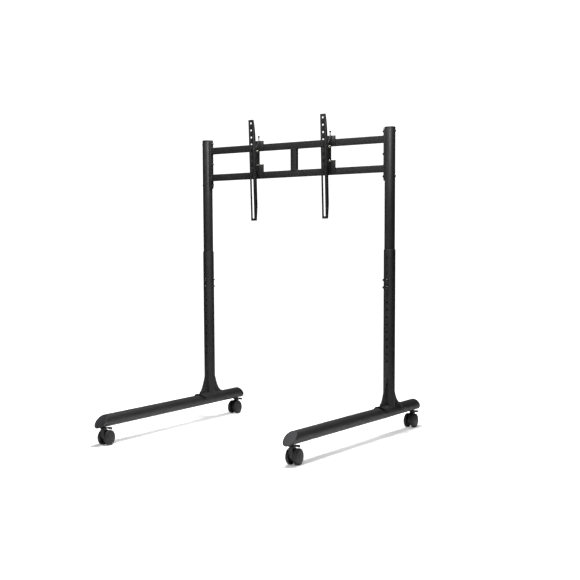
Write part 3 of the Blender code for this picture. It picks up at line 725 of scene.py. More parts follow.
fin_top = FIN_FLARE[-1][1] - foot_height - 0.004
toe = FIN_FLARE[0][0] - 0.004
for side in SIDES:
    beads = [bead(around_post(-80, 80), POST_BEAD), bead(around_post(100, 260), POST_BEAD)]
    for across, ahead in itertools.product((-1, 1), (-1, 1)):
        x = across * FIN_THICKNESS / 2
        y = ahead * math.sqrt(lower_radius ** 2 - x ** 2)
        root = (x, y, math.sqrt(STRAP_RADIUS ** 2 - x ** 2))
        beads += [bead(straight(root, end), FIN_BEAD) for end in ((x, y, fin_top), (x, ahead * toe, root[2]))]
    welds = move(joined(beads), foot_frames[side])
    hand_over(welds, f"{side}_foot_welds", "base", "textured_coat")

# %% [markdown]
# Four button-head bolts on each post lock the height, and three more hold each end plate. A button
# head is a low bar whose top is stepped in to a dome, with a hexagon socket cut in it. One function
# makes the bolt at the origin, with its shank along -Z, and each place gets its own copy.

# %% Button-head bolts
WASHER = 0.0009
DOME_STEPS = ((0.05, 0.14), (0.09, 0.14), (0.14, 0.12), (0.16, 0.07), (0.14, 0.03))


def button_bolt(radius, height, socket, shank_radius, shank_length):
    """A dome-headed bolt with a hexagon socket, a flat washer under it and its shank along -Z."""
    head = upright(radius * 0.94, WASHER - 0.0001, height * 0.5, 36)
    step_in(head, facing(UP), [(radius * inward, height * outward) for inward, outward in DOME_STEPS])
    shape(head, upright(socket, height * 0.45, height * 1.2, 6))
    ring = round_edges(upright(radius, 0, WASHER, 36), on_plane(UP * WASHER, UP), 0.0003, 2)
    shape(head, ring, "UNION")
    return shape(head, upright(shank_radius, -shank_length, WASHER / 2, 24), "UNION")


height_bolt = button_bolt(radius=0.0062, height=0.0065, socket=0.0027, shank_radius=HOLE_RADIUS - 2 * GAP,
                          shank_length=0.0024)
for side, row, level in itertools.product(SIDES, HOLE_ROWS, BOLTED_HOLES):
    bolt = copied(height_bolt, onto_post(side, row, BOLTED_HOLES[level], lower_radius + GAP))
    hand_over(bolt, f"{side}_{row}_{level}_post_bolt", "base", "black_steel",
              f"{side}_{row}_{level}_height_bolt")
bpy.data.objects.remove(height_bolt)

# %% [markdown]
# A short screw sits low on each side of the strap, near its front rim. It pins the strap to the
# foot. It is smaller and sits on the strap's round, so it is turned outward along the round's own
# normal and sunk a little.

# %% Strap screws
STRAP_SCREW_AHEAD = -0.060
STRAP_SCREW_ANGLES = (50, 130)
STRAP_SCREW_SUNK = 0.0004
screw = button_bolt(radius=0.0046, height=0.0030, socket=0.0018, shank_radius=0.0022, shank_length=0.0040)
for side, angle in itertools.product(SIDES, STRAP_SCREW_ANGLES):
    place = foot_frames[side] @ at(0, STRAP_SCREW_AHEAD, 0) @ turn(math.radians(90 - angle), "Y")
    pinned = copied(screw, place @ at(0, 0, STRAP_RADIUS - STRAP_SCREW_SUNK))
    which = "outer" if (angle < 90) == (side == "right") else "inner"
    hand_over(pinned, f"{side}_{which}_strap_screw", "base", "black_steel")
bpy.data.objects.remove(screw)

# %% [markdown]
# The upper post is a 45 mm tube that slides in the lower one. Two bolts pass right through it and
# a third ends inside, so it is drilled across. A moulded cap closes its top: a low disc with an
# eased rim, a shallow dish in its face and a plug below.

# %% Upper posts and their caps
UPPER_BORE = 0.0205
SADDLE_BOLTS = {"lower": 1.1000, "middle": 1.19375, "upper": 1.2875}
BOLT_HOLE = 0.0034
CAP_TOP = [(0.0003, 0.0010), (0.0006, 0.0008), (0.0010, 0.0004), (0.0016, 0.0002), (0.0030, 0),
           (0.0012, -0.0006)]
CAP_BELOW = [(upper_radius - UPPER_BORE + GAP, 0), (HAIR, 0.0068), (0.0008, 0.0008)]

for side, post in upper_posts.items():
    low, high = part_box(f"{side}_upper_post")
    tube = upright(upper_radius, low.z, high.z, POST_SIDES, post)
    shape(tube, upright(UPPER_BORE, low.z - 0.1, high.z + 0.1, POST_SIDES, post))
    soften(tube, 0.0005)
    for height in SADDLE_BOLTS.values():
        reach = Vector((0.04, 0, 0))
        centre = Vector((post.x, post.y, height))
        shape(tube, cylinder(BOLT_HOLE, centre - reach, centre + reach, 24))
    hand_over(tube, f"{side}_inner_post", "upper_frame", "satin_coat", f"{side}_upper_post")

    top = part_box(f"{side}_top_cap")[1].z
    cap = upright(upper_radius, high.z + GAP, top - 0.0024, 72, post)
    step_in(cap, facing(UP), CAP_TOP)
    step_in(cap, facing(-UP), CAP_BELOW)
    hand_over(cap, f"{side}_post_cap", "upper_frame", "cap_grey", f"{side}_top_cap")

# %% [markdown]
# The crossbar frame bolts to the posts through two curved plates with round ends. Such a plate is
# a piece of thick pipe, kept only where a round-ended bar passes through it. The bar starts as a
# cylinder on its side whose upper half is pushed up and whose lower half is pushed down.

# %% End plates
PLATE_BORE = 0.0228
PLATE_RADIUS = 0.0278
PLATE_HALF_WIDTH = 0.0135
PLATE_NEAR = 0.009


def round_ended_bar(centre, reach, half_length, half_width):
    """A bar along X with round ends up and down."""
    bar = cylinder(half_width, Vector(centre) - reach, Vector(centre) + reach, 48)
    for upward in (1, -1):
        pick(bar, lambda edge: all((v.co.z - centre[2]) * upward > HAIR for v in edge.verts), "EDGE")
        bpy.ops.transform.translate(value=(0, 0, upward * (half_length - half_width)))
    return done(bar)


for side, post in upper_posts.items():
    sign = SIDES[side]
    low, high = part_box(f"{side}_end_saddle")
    centre = (post.x - sign * (PLATE_RADIUS + PLATE_NEAR) / 2, post.y, (low.z + high.z) / 2)
    reach = Vector(((PLATE_RADIUS - PLATE_NEAR) / 2 + 0.001, 0, 0))
    pipe = upright(PLATE_RADIUS, low.z - 0.01, high.z + 0.01, POST_SIDES, post)
    shape(pipe, round_ended_bar(centre, reach, (high.z - low.z) / 2, PLATE_HALF_WIDTH), "INTERSECT")
    shape(pipe, upright(PLATE_BORE, 0.9, 1.5, POST_SIDES, post))
    for height in SADDLE_BOLTS.values():
        near = Vector((post.x - sign * 0.01, post.y, height))
        shape(pipe, cylinder(BOLT_HOLE, near, near - Vector((sign * 0.03, 0, 0)), 24))
    soften(pipe, 0.0006)
    hand_over(pipe, f"{side}_end_plate", "upper_frame", "satin_coat", f"{side}_end_saddle")

# %% [markdown]
# The end plates' bolts are the same button heads. The upper and the lower one run through the post
# to a nut on its outer side, which shows as a small bump in the photograph, and the middle one ends
# in a threaded insert inside the tube.

# %% End plate bolts
NUT_RADIUS, NUT_HEIGHT = 0.0055, 0.0025
NUT_FACE = PLATE_RADIUS + upper_radius + 3 * GAP
THROUGH_SHANK, SHORT_SHANK = NUT_FACE + 0.0032, 0.014


def nut(radius, height, distance):
    """A hexagon nut around a shank, with its upper face at a distance under the head."""
    return soften(upright(radius, -distance - height, -distance, 6), 0.0004)


for side, post in upper_posts.items():
    for level, height in SADDLE_BOLTS.items():
        through = level != "middle"
        bolt = button_bolt(radius=0.0058, height=0.0056, socket=0.0026, shank_radius=0.0030,
                           shank_length=THROUGH_SHANK if through else SHORT_SHANK)
        if through:
            shape(bolt, nut(NUT_RADIUS, NUT_HEIGHT, NUT_FACE), "UNION")
        out = at(post.x - SIDES[side] * (PLATE_RADIUS + GAP), post.y, height)
        move(bolt, out @ turn(-SIDES[side] * QUARTER, "Y"))
        hand_over(bolt, f"{side}_{level}_plate_bolt", "upper_frame", "black_steel",
                  f"{side}_{level}_saddle_bolt")

# %% [markdown]
# The two crossbars and the strut between them are rectangular tube with rolled corners. The long
# edges are rounded before the tube is bored, and the ends are coped to the end plates. Beads of
# weld close the joints, and they run around each section just where it meets its neighbour.

# %% Crossbars, strut and their welds
BAR_WALL = 0.0016
BAR_CORNER, STRUT_CORNER = 0.0024, 0.0020
BAR_BEAD, STRUT_BEAD = 0.0016, 0.0013


def square_tube(node, axis, corner, spare=0):
    """A rectangular tube along an axis, with rolled corners and spare length at both ends."""
    low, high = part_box(node)
    along, wall = Vector(), Vector((BAR_WALL,) * 3)
    along[axis], wall[axis] = spare, -0.05
    tube = round_edges(block(low - along, high + along), along_axis(axis), corner, 4)
    return shape(tube, block(low + wall, high - wall))


def around(corners):
    """Points along a closed line through corners, half a ripple apart."""
    path = []
    for start, end in zip(corners, corners[1:] + corners[:1]):
        path += straight(start, end)[:-1]
    return path + path[:1]


def bar_loop(post, bar, half):
    """A bead's path around a bar's section, bulged in X as the end plate is."""
    x, centre = post.x, middle(bar)
    section = [(0, -half.y, -half.z), (0, half.y, -half.z), (0, half.y, half.z), (0, -half.y, half.z)]
    return [Vector((x - math.copysign(math.sqrt(PLATE_RADIUS ** 2 - place.y ** 2), x),
                    centre.y + place.y, centre.z + place.z)) for place in around(section)]


frame_beads = []
bar_half = extent("upper_crossbar") / 2
for node in ("upper_crossbar", "lower_crossbar"):
    bar = square_tube(node, 0, BAR_CORNER, 0.02)
    low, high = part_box(node)
    for post in upper_posts.values():
        shape(bar, upright(PLATE_RADIUS + GAP, low.z - 0.1, high.z + 0.1, POST_SIDES, post))
        frame_beads.append(bead(bar_loop(post, node, bar_half), BAR_BEAD))
    hand_over(bar, node.replace("crossbar", "rail"), "upper_frame", "satin_coat", node)

strut = square_tube("centre_strut", 2, STRUT_CORNER)
low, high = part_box("centre_strut")
for z in (low.z - GAP, high.z + GAP):
    corners = [(low.x, low.y, z), (high.x, low.y, z), (high.x, high.y, z), (low.x, high.y, z)]
    frame_beads.append(bead(around(corners), STRUT_BEAD))
hand_over(strut, "middle_strut", "upper_frame", "satin_coat", "centre_strut")
hand_over(joined(frame_beads), "crossbar_welds", "upper_frame", "satin_coat")

# %% [markdown]
# A hook is one bent sheet. It is modelled as a press brake would make it: a flat plane for the
# lip in front of the upper bar, whose top edge is drawn up, over the bar and down behind it. The
# bend lines are beveled to the bend radius and Solidify gives the sheet its 3 mm. The ear that
# carries the pivot and the lower lip are welded on, and bolt hole and slot are cut last.

# %% Hooks
SHEET = 0.003
BEND = 0.0030
HOOK_SIDE = 0.0104 + SHEET / 2
HOOK_LEFT, HOOK_TOP_RIGHT, HOOK_RIGHT = -0.0093, 0.0213, 0.0375
HOOK_TOP = 1.2858 - SHEET / 2
LIP_BOTTOM = 1.2415
BACK_BOTTOM = 1.2500
EAR_INNER = 0.0136
EAR_CORNERS = ((-0.0160, 1.2858), (-0.0415, 1.2520), (-0.0415, 1.1540), (-0.0280, 1.1380), (-0.0106, 1.1198))
LOWER_LIP = (1.1195, 1.1800)
SLOT_HALF_LENGTH, SLOT_RADIUS = 0.0056, 0.0036
LOCK_DROP = 0.061
LOCK_SWING = math.radians(4.95)
SCREW_X, SCREW_HOLE = 0.0054, 0.0028
POST_Y = upper_posts["left"].y


def bent_strip():
    """The lip in front, the top and the tongue behind, bent from one sheet about the origin's bar."""
    nothing_selected()
    bpy.ops.mesh.primitive_plane_add(size=1, rotation=(QUARTER, 0, 0))
    strip = bpy.context.object
    strip.scale = (HOOK_RIGHT - HOOK_LEFT, HOOK_TOP - LIP_BOTTOM, 1)
    strip.location = ((HOOK_RIGHT + HOOK_LEFT) / 2, -HOOK_SIDE, (HOOK_TOP + LIP_BOTTOM) / 2)
    bpy.ops.object.transform_apply()
    edit(strip)
    bpy.ops.mesh.bisect(plane_co=(HOOK_TOP_RIGHT, 0, 0), plane_no=(1, 0, 0))
    pick(strip, lambda edge: all(v.co.z > HOOK_TOP - HAIR and v.co.x < HOOK_TOP_RIGHT + HAIR
                                 for v in edge.verts), "EDGE")
    draw_out(0, 2 * HOOK_SIDE, 0)
    draw_out(0, 0, BACK_BOTTOM - HOOK_TOP)
    round_edges(strip, lambda edge: len(edge.link_faces) == 2 and edge.calc_face_angle(0) > 1, BEND, 5)
    return modified(strip, "SOLIDIFY", thickness=SHEET, offset=0, use_even_offset=True)


for side in SIDES:
    pivot = joint_place(f"{side}_arm_tilt")
    hook = bent_strip()
    ear = block((EAR_INNER, EAR_CORNERS[1][0], EAR_CORNERS[-1][1]),
                (EAR_INNER + SHEET, EAR_CORNERS[-1][0], EAR_CORNERS[0][1]))
    for start, end in ((0, 1), (2, 3), (3, 4)):
        first, second = Vector((0, *EAR_CORNERS[start])), Vector((0, *EAR_CORNERS[end]))
        run = second - first
        trim(ear, first, (0, run.z, -run.y))
    shape(hook, ear, "UNION")
    shape(hook, block((EAR_INNER + 0.0004, -HOOK_SIDE - SHEET / 2, LOWER_LIP[0]),
                      (HOOK_RIGHT, -HOOK_SIDE + SHEET / 2, LOWER_LIP[1])), "UNION")
    pivot_y, pivot_z = pivot.y - POST_Y, pivot.z
    shape(hook, cylinder(BOLT_HOLE, (0.01, pivot_y, pivot_z), (0.02, pivot_y, pivot_z), 32))
    slot = round_ended_bar((0.015, 0, 0), Vector((0.01, 0, 0)), SLOT_HALF_LENGTH + SLOT_RADIUS, SLOT_RADIUS)
    swing = at(0, pivot_y, pivot_z) @ turn(LOCK_SWING, "X")
    shape(hook, move(slot, swing @ at(0, 0, -LOCK_DROP) @ turn(QUARTER, "X")))
    shape(hook, upright(SCREW_HOLE, HOOK_TOP - 0.01, HOOK_TOP + 0.01, 32, (SCREW_X, 0)))
    soften(hook, 0.0004)
    move(hook, at(pivot.x, POST_Y, 0))
    hand_over(hook, f"{side}_hook_bracket", f"{side}_hook", "textured_coat", f"{side}_arm_hook")

# %% [markdown]
# A screen arm is a shallow channel of 2 mm sheet. It is cut from a block: the inside is milled out,
# both flanges are trimmed to their tapers with a plate behind them, and then come the seven screen
# holes and the long slot. The two front edges are rounded most, because there the sheet is bent.

# %% Screen arms
ARM_TILT = math.radians(2.35)
ARM_HALF_WIDTH = 0.0132
ARM_SHEET = 0.002
ARM_TOP = 0.1393
ARM_LENGTH = 0.4462
ARM_BOTTOM = ARM_TOP - ARM_LENGTH
ARM_FRONT = -0.0228
ARM_DEEPEST = 0.036
ARM_HOLES = 7
ARM_HOLE_RADIUS = 0.00425
ARM_HOLE_PITCH = 0.031
ARM_FIRST_HOLE = 0.0153
ARM_SLOT = (0.2348, 0.4363)
ARM_SLOT_RADIUS = 0.0042
LUG_BACK = 0.0115
LUG_TOP, LUG_BOTTOM = 0.014, -0.069
STATIONS = (0.0, 0.031, 0.066, 0.111, 0.382, 0.4462)    # down from the top, with each flange's depth there
FLANGES = {-1: (0.0042, 0.0085, 0.0095, 0.0095, 0.0095, 0.0075),
           1: (0.0042, 0.0115, 0.0155, 0.0175, 0.0175, 0.0086)}


def front_bend(edge):
    """A test for the two long front edges of an arm."""
    return along_axis(2)(edge) and all(
        abs(abs(v.co.x) - ARM_HALF_WIDTH) < HAIR and abs(v.co.y - ARM_FRONT) < HAIR for v in edge.verts)


def flange_waste(across, depths):
    """What is cut away behind one flange, from its tapers and its lug for the bolts."""
    edge = [(ARM_FRONT + depth, ARM_TOP - station) for station, depth in zip(STATIONS, depths)]
    lug = [(edge[3][0], LUG_TOP + 0.012), (LUG_BACK, LUG_TOP), (LUG_BACK, LUG_BOTTOM),
           (edge[3][0], LUG_BOTTOM - 0.010)]
    behind = ARM_FRONT + 0.06
    waste = [*edge[:4], *lug, *edge[4:], (edge[-1][0], ARM_BOTTOM - 0.01), (behind, ARM_BOTTOM - 0.01),
             (behind, ARM_TOP + 0.01), (edge[0][0], ARM_TOP + 0.01)]
    return move(plate(waste, ARM_HALF_WIDTH), at(across * ARM_HALF_WIDTH, 0, 0))


arm_frames = {side: at(*joint_place(f"{side}_arm_tilt")) @ turn(ARM_TILT, "X") for side in SIDES}
for side, place in arm_frames.items():
    arm = block((-ARM_HALF_WIDTH, ARM_FRONT, ARM_BOTTOM), (ARM_HALF_WIDTH, ARM_FRONT + ARM_DEEPEST, ARM_TOP))
    shape(arm, block((-ARM_HALF_WIDTH + ARM_SHEET, ARM_FRONT + ARM_SHEET, ARM_BOTTOM - 0.01),
                     (ARM_HALF_WIDTH - ARM_SHEET, ARM_FRONT + 0.05, ARM_TOP + 0.01)))
    for across, depths in FLANGES.items():
        shape(arm, flange_waste(across, depths))
    round_edges(arm, front_bend, 0.0014, 4)
    for index in range(ARM_HOLES):
        z = ARM_TOP - ARM_FIRST_HOLE - ARM_HOLE_PITCH * index
        shape(arm, cylinder(ARM_HOLE_RADIUS, (0, ARM_FRONT - 0.01, z), (0, ARM_FRONT + 0.01, z), 28))
    slot = round_ended_bar((0, 0, 0), Vector((0.02, 0, 0)), (ARM_SLOT[1] - ARM_SLOT[0]) / 2, ARM_SLOT_RADIUS)
    shape(arm, move(slot, at(0, ARM_FRONT, ARM_TOP - sum(ARM_SLOT) / 2) @ turn(QUARTER, "Z")))
    for z in (0, -LOCK_DROP):
        shape(arm, cylinder(BOLT_HOLE, (0.005, 0, z), (0.02, 0, z), 28))
    soften(arm, 0.0003)
    move(arm, place)
    hand_over(arm, f"{side}_arm_channel", f"{side}_screen_arm", "satin_coat", f"{side}_arm")

# %% [markdown]
# Each arm turns on a zinc-plated bolt through the hook's ear, and a second one in the curved slot
# locks the tilt. They are hexagon heads with a washer, and their nuts are inside the channel. The
# thread that shows beyond a nut is a stack of small double cones made with an Array.

# %% Tilt bolts
THREAD_PITCH = 0.0008
THREAD_ROOT = 0.84
HEX_HEAD = (0.0058, 0.0010, 0.0052)      # radius, lower end and upper end
HEX_WASHER = (0.0064, 0, 0.0012)
HEX_NUT = (0.0052, 0.0040)               # radius and height
HEX_THREAD = (0.0029, 0.0008)            # radius and upper end
PAST_NUT = 0.0055
UNDER_HEAD = EAR_INNER + SHEET + GAP


def thread(radius, start, end):
    """A threaded rod up Z: one ridge, repeated."""
    half = THREAD_PITCH / 2
    ridge = upright(radius, start, start + THREAD_PITCH, 20)
    edit(ridge)
    bpy.ops.mesh.bisect(plane_co=(0, 0, start + half), plane_no=(0, 0, 1))
    pick(ridge, lambda edge: all(abs(v.co.z - start - half) > half / 2 for v in edge.verts), "EDGE")
    bpy.ops.transform.resize(value=(THREAD_ROOT, THREAD_ROOT, 1))
    pick(ridge, lambda face: abs(face.normal.z) > 0.99)
    bpy.ops.mesh.delete(type="FACE")
    done(ridge)
    modified(ridge, "ARRAY", use_relative_offset=False, use_constant_offset=True,
             constant_offset_displace=(0, 0, THREAD_PITCH), count=max(2, round((end - start) / THREAD_PITCH)),
             use_merge_vertices=True, merge_threshold=HAIR)
    edit(ridge, "EDGE", "DESELECT")
    bpy.ops.mesh.select_non_manifold()
    bpy.ops.mesh.edge_face_add()
    bpy.ops.mesh.select_all(action="SELECT")
    bpy.ops.mesh.normals_make_consistent(inside=False)
    return done(ridge)


def hexagon_bolt(nut_distance):
    """A hexagon-head bolt along Z: chamfered head, washer, nut and thread."""
    head = soften(upright(*HEX_HEAD, 6), 0.0005)
    step_in(head, facing(UP), [(0.0010, 0), (0.0004, -0.0003)])
    washer = round_edges(upright(*HEX_WASHER, 40), on_plane(UP * HEX_WASHER[2], UP), 0.0003, 2)
    far_nut = nut(*HEX_NUT, nut_distance)
    radius, end = HEX_THREAD
    return joined([head, washer, far_nut, thread(radius, -nut_distance - PAST_NUT, end)])


for side, place in arm_frames.items():
    for name, node, z in (("pivot", "pivot_bolt", 0), ("lock", "tilt_lock_bolt", -LOCK_DROP)):
        bolt = hexagon_bolt(UNDER_HEAD - ARM_HALF_WIDTH + ARM_SHEET + GAP)
        move(bolt, place @ at(UNDER_HEAD, 0, z) @ turn(QUARTER, "Y"))
        hand_over(bolt, f"{side}_{name}_hex_bolt", f"{side}_screen_arm", "zinc_plate", f"{side}_{node}")

# %% [markdown]
# A levelling screw stands on top of each hook and bears on the bar. In the photograph its head is
# dark and its shank is bright, so it is a blackened knob on a plated screw. The knob's grip comes
# from every second side face being drawn in a little.

# %% Levelling screws
KNOB_RADIUS, KNOB_HEIGHT = 0.0044, 0.006
KNOB_SOCKET = 0.0019
LEVELLING_THREAD = 0.0025

for side in SIDES:
    low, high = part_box(f"{side}_levelling_screw")
    base = high.z - KNOB_HEIGHT
    knob = upright(KNOB_RADIUS, base, high.z - 0.0006, 32)
    side_faces = itertools.count()
    pick(knob, lambda face: abs(face.normal.z) < 0.1 and next(side_faces) % 2 == 0)
    bpy.ops.mesh.inset(thickness=0.0001, depth=-0.0003, use_individual=True)
    done(knob)
    step_in(knob, facing(UP), [(0.0005, 0.0006), (0.0010, 0)])
    shape(knob, upright(KNOB_SOCKET, high.z - 0.003, high.z + 0.01, 6))
    rod = thread(LEVELLING_THREAD, low.z, base + 0.0004)
    for piece in (knob, rod):
        move(piece, at(*middle(f"{side}_levelling_screw").xy, 0))
    hand_over(knob, f"{side}_levelling_knob", f"{side}_screw", "black_steel")
    hand_over(rod, f"{side}_levelling_thread", f"{side}_screw", "zinc_plate", f"{side}_levelling_screw")

# %% [markdown]
# A caster is a moulded body that turns on a steel stem in the foot. Its wheels stand on an axle
# behind the stem, so that it trails. The body fills the space between the wheels: an outline made
# of straight walls and one arc around the axle, with a round neck welded on top. Each caster has a
# frame on its swivel axis at floor level, turned as the foot is.

# %% Caster bodies
BODY_WIDTH = 0.0170
NECK_RADIUS = 0.011
NECK = (0.0655, 0.0756)
STEM_RADIUS = 0.005
STEM_TOP = 0.093
AXLE_RADIUS = 0.003
AXLE_REACH = 0.0200
HUB_RADIUS = 0.022


def caster_frame(side, end):
    place = foot_frames[side].copy()
    swivel = joint_place(f"{side}_{end}_swivel")
    place.translation = (swivel.x, swivel.y, 0)
    return place


def arc(centre, radius, start, end, steps):
    """Points on an arc, from one angle to another in degrees."""
    angles = (math.radians(start + (end - start) * index / steps) for index in range(steps + 1))
    return [(centre[0] + radius * math.cos(a), centre[1] + radius * math.sin(a)) for a in angles]


def caster_body(toward, trail, axle_height):
    """The moulded body, with its wheels' axle at a distance ahead of or behind the stem."""
    outline = [(NECK_RADIUS, 0.0665), (-NECK_RADIUS, 0.0665), (-NECK_RADIUS, 0.036),
               *arc((trail, axle_height), HUB_RADIUS, 205, 400, 28), (trail + 0.003, 0.062)]
    if toward < 0:
        outline = [(-y, z) for y, z in reversed(outline)]
    body = soften(plate(outline, BODY_WIDTH), 0.0012, 3)
    step_in(body, facing((0, -toward, 0), NECK_RADIUS), [(0.0018, 0), (0.0005, -0.0007)])
    neck = upright(NECK_RADIUS, NECK[0], NECK[1] - 0.0010, 48)
    step_in(neck, facing(UP), [(0.0004, 0.0007), (0.0008, 0.0003)])
    return shape(body, neck, "UNION")


for side, end in CORNERS:
    name = f"{side}_{end}"
    place = caster_frame(side, end)
    axle = place.inverted() @ joint_place(f"{name}_roll_in")
    body = move(caster_body(math.copysign(1, axle.y), abs(axle.y), axle.z), place)
    hand_over(body, f"{name}_caster_body", f"{name}_caster", "moulded_black", f"{name}_caster_housing")
    stem = upright(STEM_RADIUS, NECK[1] - 0.002, STEM_TOP - 0.0012, 32)
    step_in(stem, facing(UP), [(0.0008, 0.0012)])
    reach = Vector((AXLE_REACH, 0, 0))
    pin = cylinder(AXLE_RADIUS, axle - reach, axle + reach, 24)
    for piece, what in ((stem, "stem"), (pin, "axle")):
        hand_over(move(piece, place), f"{name}_caster_{what}", f"{name}_caster", "zinc_plate")

# %% [markdown]
# The wheels are dished discs. A wheel starts as a short cylinder, and stepping its outer face in
# again and again turns the section: the rounded shoulder, a groove, the shallow dome and the hub
# cap. The inner face gets its rim, a recess and the bore for the axle. The tread is another
# compound, so the faces that look outward from the axle take a second material.

# %% Wheels
WHEEL_RADIUS = 0.0315
WHEEL_INNER = 0.0098
WHEEL_WIDTH = 0.0163
SHOULDER = [(0.0004, 0.0010), (0.0007, 0.0009), (0.0010, 0.0007), (0.0016, 0.0008), (0.0022, 0.0006)]
GROOVE = [(0.0003, -0.0007), (0.0008, 0), (0.0003, 0.0007)]
DOME = [(0.0040, 0.0006), (0.0040, 0.0004), (0.0036, 0.0001)]
HUB_CAP = [(0.0003, -0.0008), (0.0006, 0), (0.0003, 0.0011), (0.0010, 0.0003), (0.0030, 0.0002)]
OUTER_FACE = SHOULDER + GROOVE + DOME + HUB_CAP
INNER_RIM = [(0.0006, 0.0009), (0.0009, 0.0006), (0.0050, 0.0002), (0.0005, -0.0030), (0.0100, 0),
             (0.0005, 0.0028)]
INNER_DEPTH = 0.0017


def wheel_blank():
    """A wheel along Z, with the caster's middle at the origin and the outer face up."""
    depth = sum(outward for _, outward in OUTER_FACE)
    made = upright(WHEEL_RADIUS, WHEEL_INNER + INNER_DEPTH, WHEEL_INNER + WHEEL_WIDTH - depth, 72)
    step_in(made, facing(UP), OUTER_FACE)
    inner_radius = WHEEL_RADIUS - sum(inward for inward, _ in INNER_RIM)
    bore = AXLE_RADIUS + GAP
    step_in(made, facing(-UP), INNER_RIM + [(inner_radius - bore, 0), (HAIR, -0.0105)])
    for finish in ("wheel_nylon", "tread_rubber"):
        made.data.materials.append(finishes[finish])
    for face in made.data.polygons:
        if abs(face.normal.z) < 0.85 and face.center.xy.length > WHEEL_RADIUS - 0.0012:
            face.material_index = 1
    return made


blank = wheel_blank()
for side, end in CORNERS:
    for which, short, toward in (("outer", "out", SIDES[side]), ("inner", "in", -SIDES[side])):
        place = foot_frames[side].copy()
        place.translation = joint_place(f"{side}_{end}_roll_{short}")
        wheel = copied(blank, place @ turn(toward * QUARTER, "Y"))
        hand_over(wheel, f"{side}_{end}_{which}_roller", f"{side}_{end}_wheel_{short}", "wheel_nylon",
                  f"{side}_{end}_{which}_wheel")
bpy.data.objects.remove(blank)

# %% [markdown]
# A brake pedal is a ring around the caster's neck with a tongue that reaches to the rear. The
# tongue is a block narrowed towards the ring, with a thicker pad on it that carries three grip
# ribs. Its end is hooked down over the full width, where the toe lifts it to free the brake.
# Everything is welded before the neck's hole is cut and the edges are eased.

# %% Brake pedals
PEDAL_HEIGHT = 0.0710
PEDAL_SLOPE = math.radians(4)
PEDAL_HALF_THICKNESS = 0.0017
PEDAL_RING = 0.0150
PEDAL_REACH = 0.045
PEDAL_HALF_WIDTH = 0.0105
PEDAL_ROOT_WIDTH = 0.0062
PEDAL_SHOULDER = 0.026
PAD_START = 0.021
PAD_HALF_WIDTH = 0.0100
PAD_HALF_THICKNESS = 0.0023
LIP_HALF_WIDTH = 0.0095
LIP_DROP = 0.0075
RIB_HALF_WIDTH = 0.0080
RIBS = (0.0290, 0.0330, 0.0370)


def brake_pedal():
    """A pedal about the swivel axis, with its tongue along Y."""
    half = PEDAL_HALF_THICKNESS
    ring = upright(PEDAL_RING, -half, half, 56)
    tongue = block((-PEDAL_HALF_WIDTH, 0.012, -half + HAIR), (PEDAL_HALF_WIDTH, PEDAL_REACH, half - HAIR))
    edit(tongue)
    bpy.ops.mesh.bisect(plane_co=(0, PEDAL_SHOULDER, 0), plane_no=(0, 1, 0))
    pick(tongue, lambda edge: all(vertex.co.y < 0.013 for vertex in edge.verts), "EDGE")
    bpy.ops.transform.resize(value=(PEDAL_ROOT_WIDTH / PEDAL_HALF_WIDTH, 1, 1))
    done(tongue)
    round_edges(tongue, lambda edge: along_axis(2)(edge) and edge.verts[0].co.y > PEDAL_REACH - 1e-4,
                0.003, 4)
    pad = block((-PAD_HALF_WIDTH, PAD_START, -PAD_HALF_THICKNESS),
                (PAD_HALF_WIDTH, PEDAL_REACH - 0.0012, PAD_HALF_THICKNESS))
    round_edges(pad, along_axis(2), 0.0024, 4)
    lip = block((-LIP_HALF_WIDTH, PEDAL_REACH - 0.0027, -LIP_DROP),
                (LIP_HALF_WIDTH, PEDAL_REACH - 0.0003, 0.0008))
    ribs = [block((-RIB_HALF_WIDTH, y, 0), (RIB_HALF_WIDTH, y + 0.0014, PAD_HALF_THICKNESS + 0.0006))
            for y in RIBS]
    for piece in (tongue, pad, lip, *ribs):
        shape(ring, piece, "UNION")
    shape(ring, upright(NECK_RADIUS + 0.001, -0.01, 0.01, 56))
    return soften(ring, 0.0004)


pedal = brake_pedal()
for side, end in CORNERS:
    made = copied(pedal, caster_frame(side, end) @ at(0, 0, PEDAL_HEIGHT) @ turn(-PEDAL_SLOPE, "X"))
    hand_over(made, f"{side}_{end}_brake_pedal", f"{side}_{end}_brake", "moulded_black",
              f"{side}_{end}_brake_lever")
bpy.data.objects.remove(pedal)
print(f"pieces handed over: {len(handed_over)}")

# %% [markdown]
# The photograph is a product shot on white. The floor glows only where the camera looks at it: a
# lot far away, so it melts into the white behind, a little between the feet, and least beside the
# casters, where the shadow is darkest. Far off it is also dark in itself, which keeps it out of the
# posts' reflections. Two lamps hang overhead, and the small one draws the feet's narrow shadow. A
# soft box high on the right and one on the left make the bright band down each post. The world is
# white for the camera and almost black as a light, so the sides of the tubes stay dark.

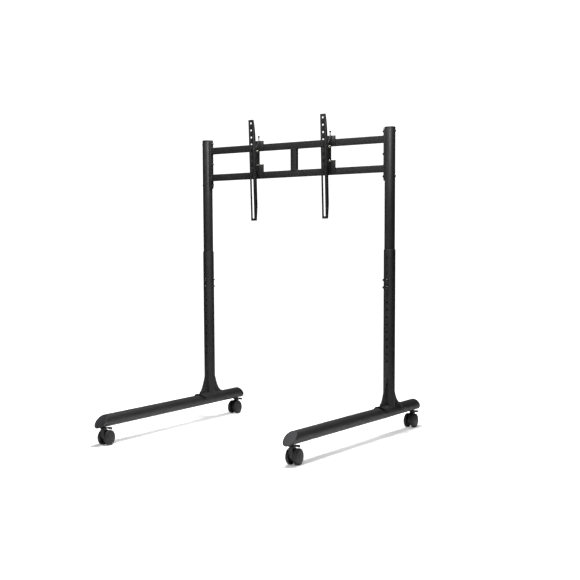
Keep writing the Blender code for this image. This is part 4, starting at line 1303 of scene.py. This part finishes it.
# %% Floor and light
bpy.context.scene.view_settings.view_transform = "Standard"
WHITE = 1.2
FLOOR_TONES = (0.86, 0.1)
FLOOR_DARKENS = (0.90, 1.5)
LEAST_GLOW = 0.14
FAR_GLOW = (0.74, 1.10)
MIDDLE = (-0.12, 0.10, 0)
MIDDLE_GLOW = 0.68
MIDDLE_FADE = (0.25, 0.85)
SKY_LIGHT = (0.02, 0.08)
LIGHTS = {    # place, target, size and power
    "overhead": ((0, 1.2, 3.2), (0, 0.6, 0), (3.4, 3.4), 25),
    "overhead_core": ((0.2, -0.15, 3.2), (0.2, -0.15, 0), (0.78, 0.78), 125),
    "high_right": ((1.45, -1.75, 2.5), (0.2, 0.28, 1.1), (1.0, 0.9), 35),
    "left": ((-0.9, -2.8, 1.6), (0.1, 0.28, 0.9), (0.5, 1.0), 5),
}

nothing_selected()
bpy.ops.mesh.primitive_plane_add(size=60)
floor = bpy.context.object
floor.name = "floor"
pale = bpy.data.materials.new("pale_floor")
pale.use_nodes = True
tree = pale.node_tree
floor_place = object_place(tree)


def distance_from(centre):
    return add_node(tree, "VectorMath", {0: floor_place, 1: centre}, operation="DISTANCE")["Value"]


def camera_only(tree):
    return add_node(tree, "LightPath", {})["Is Camera Ray"]


from_origin = distance_from((0, 0, 0))
glow = math_node(tree, "MAXIMUM", ranged(tree, from_origin, *FAR_GLOW, LEAST_GLOW, WHITE),
                 ranged(tree, distance_from(MIDDLE), *MIDDLE_FADE, MIDDLE_GLOW, LEAST_GLOW))
feed(tree, tree.nodes["Principled BSDF"], {
    "Base Color": ranged(tree, from_origin, *FLOOR_DARKENS, *FLOOR_TONES),
    "Roughness": 0.9, "Specular IOR Level": 0.1, "Emission Color": (1, 1, 1, 1),
    "Emission Strength": math_node(tree, "MULTIPLY", glow, camera_only(tree))})
floor.data.materials.append(pale)

world = bpy.data.worlds.new("studio")
bpy.context.scene.world = world
world.use_nodes = True
sky = world.node_tree
upward = add_node(sky, "SeparateXYZ", {0: add_node(sky, "TexCoord", {})["Generated"]})["Z"]
faint = ranged(sky, upward, 0.0, 1.0, *SKY_LIGHT)
feed(sky, sky.nodes["Background"], {"Color": (1, 1, 1, 1),
                                    "Strength": ranged(sky, camera_only(sky), 0.0, 1.0, faint, WHITE)})

for name, (place, target, size, power) in LIGHTS.items():
    bpy.ops.object.light_add(type="AREA", location=place)
    lamp = bpy.context.object
    lamp.name = name
    lamp.rotation_euler = (Vector(target) - Vector(place)).to_track_quat("-Z", "Y").to_euler()
    settle(lamp.data, {"shape": "RECTANGLE", "size": size[0], "size_y": size[1], "energy": power})
    print(f"light {name}: {power} W, {size[0]} x {size[1]} m")
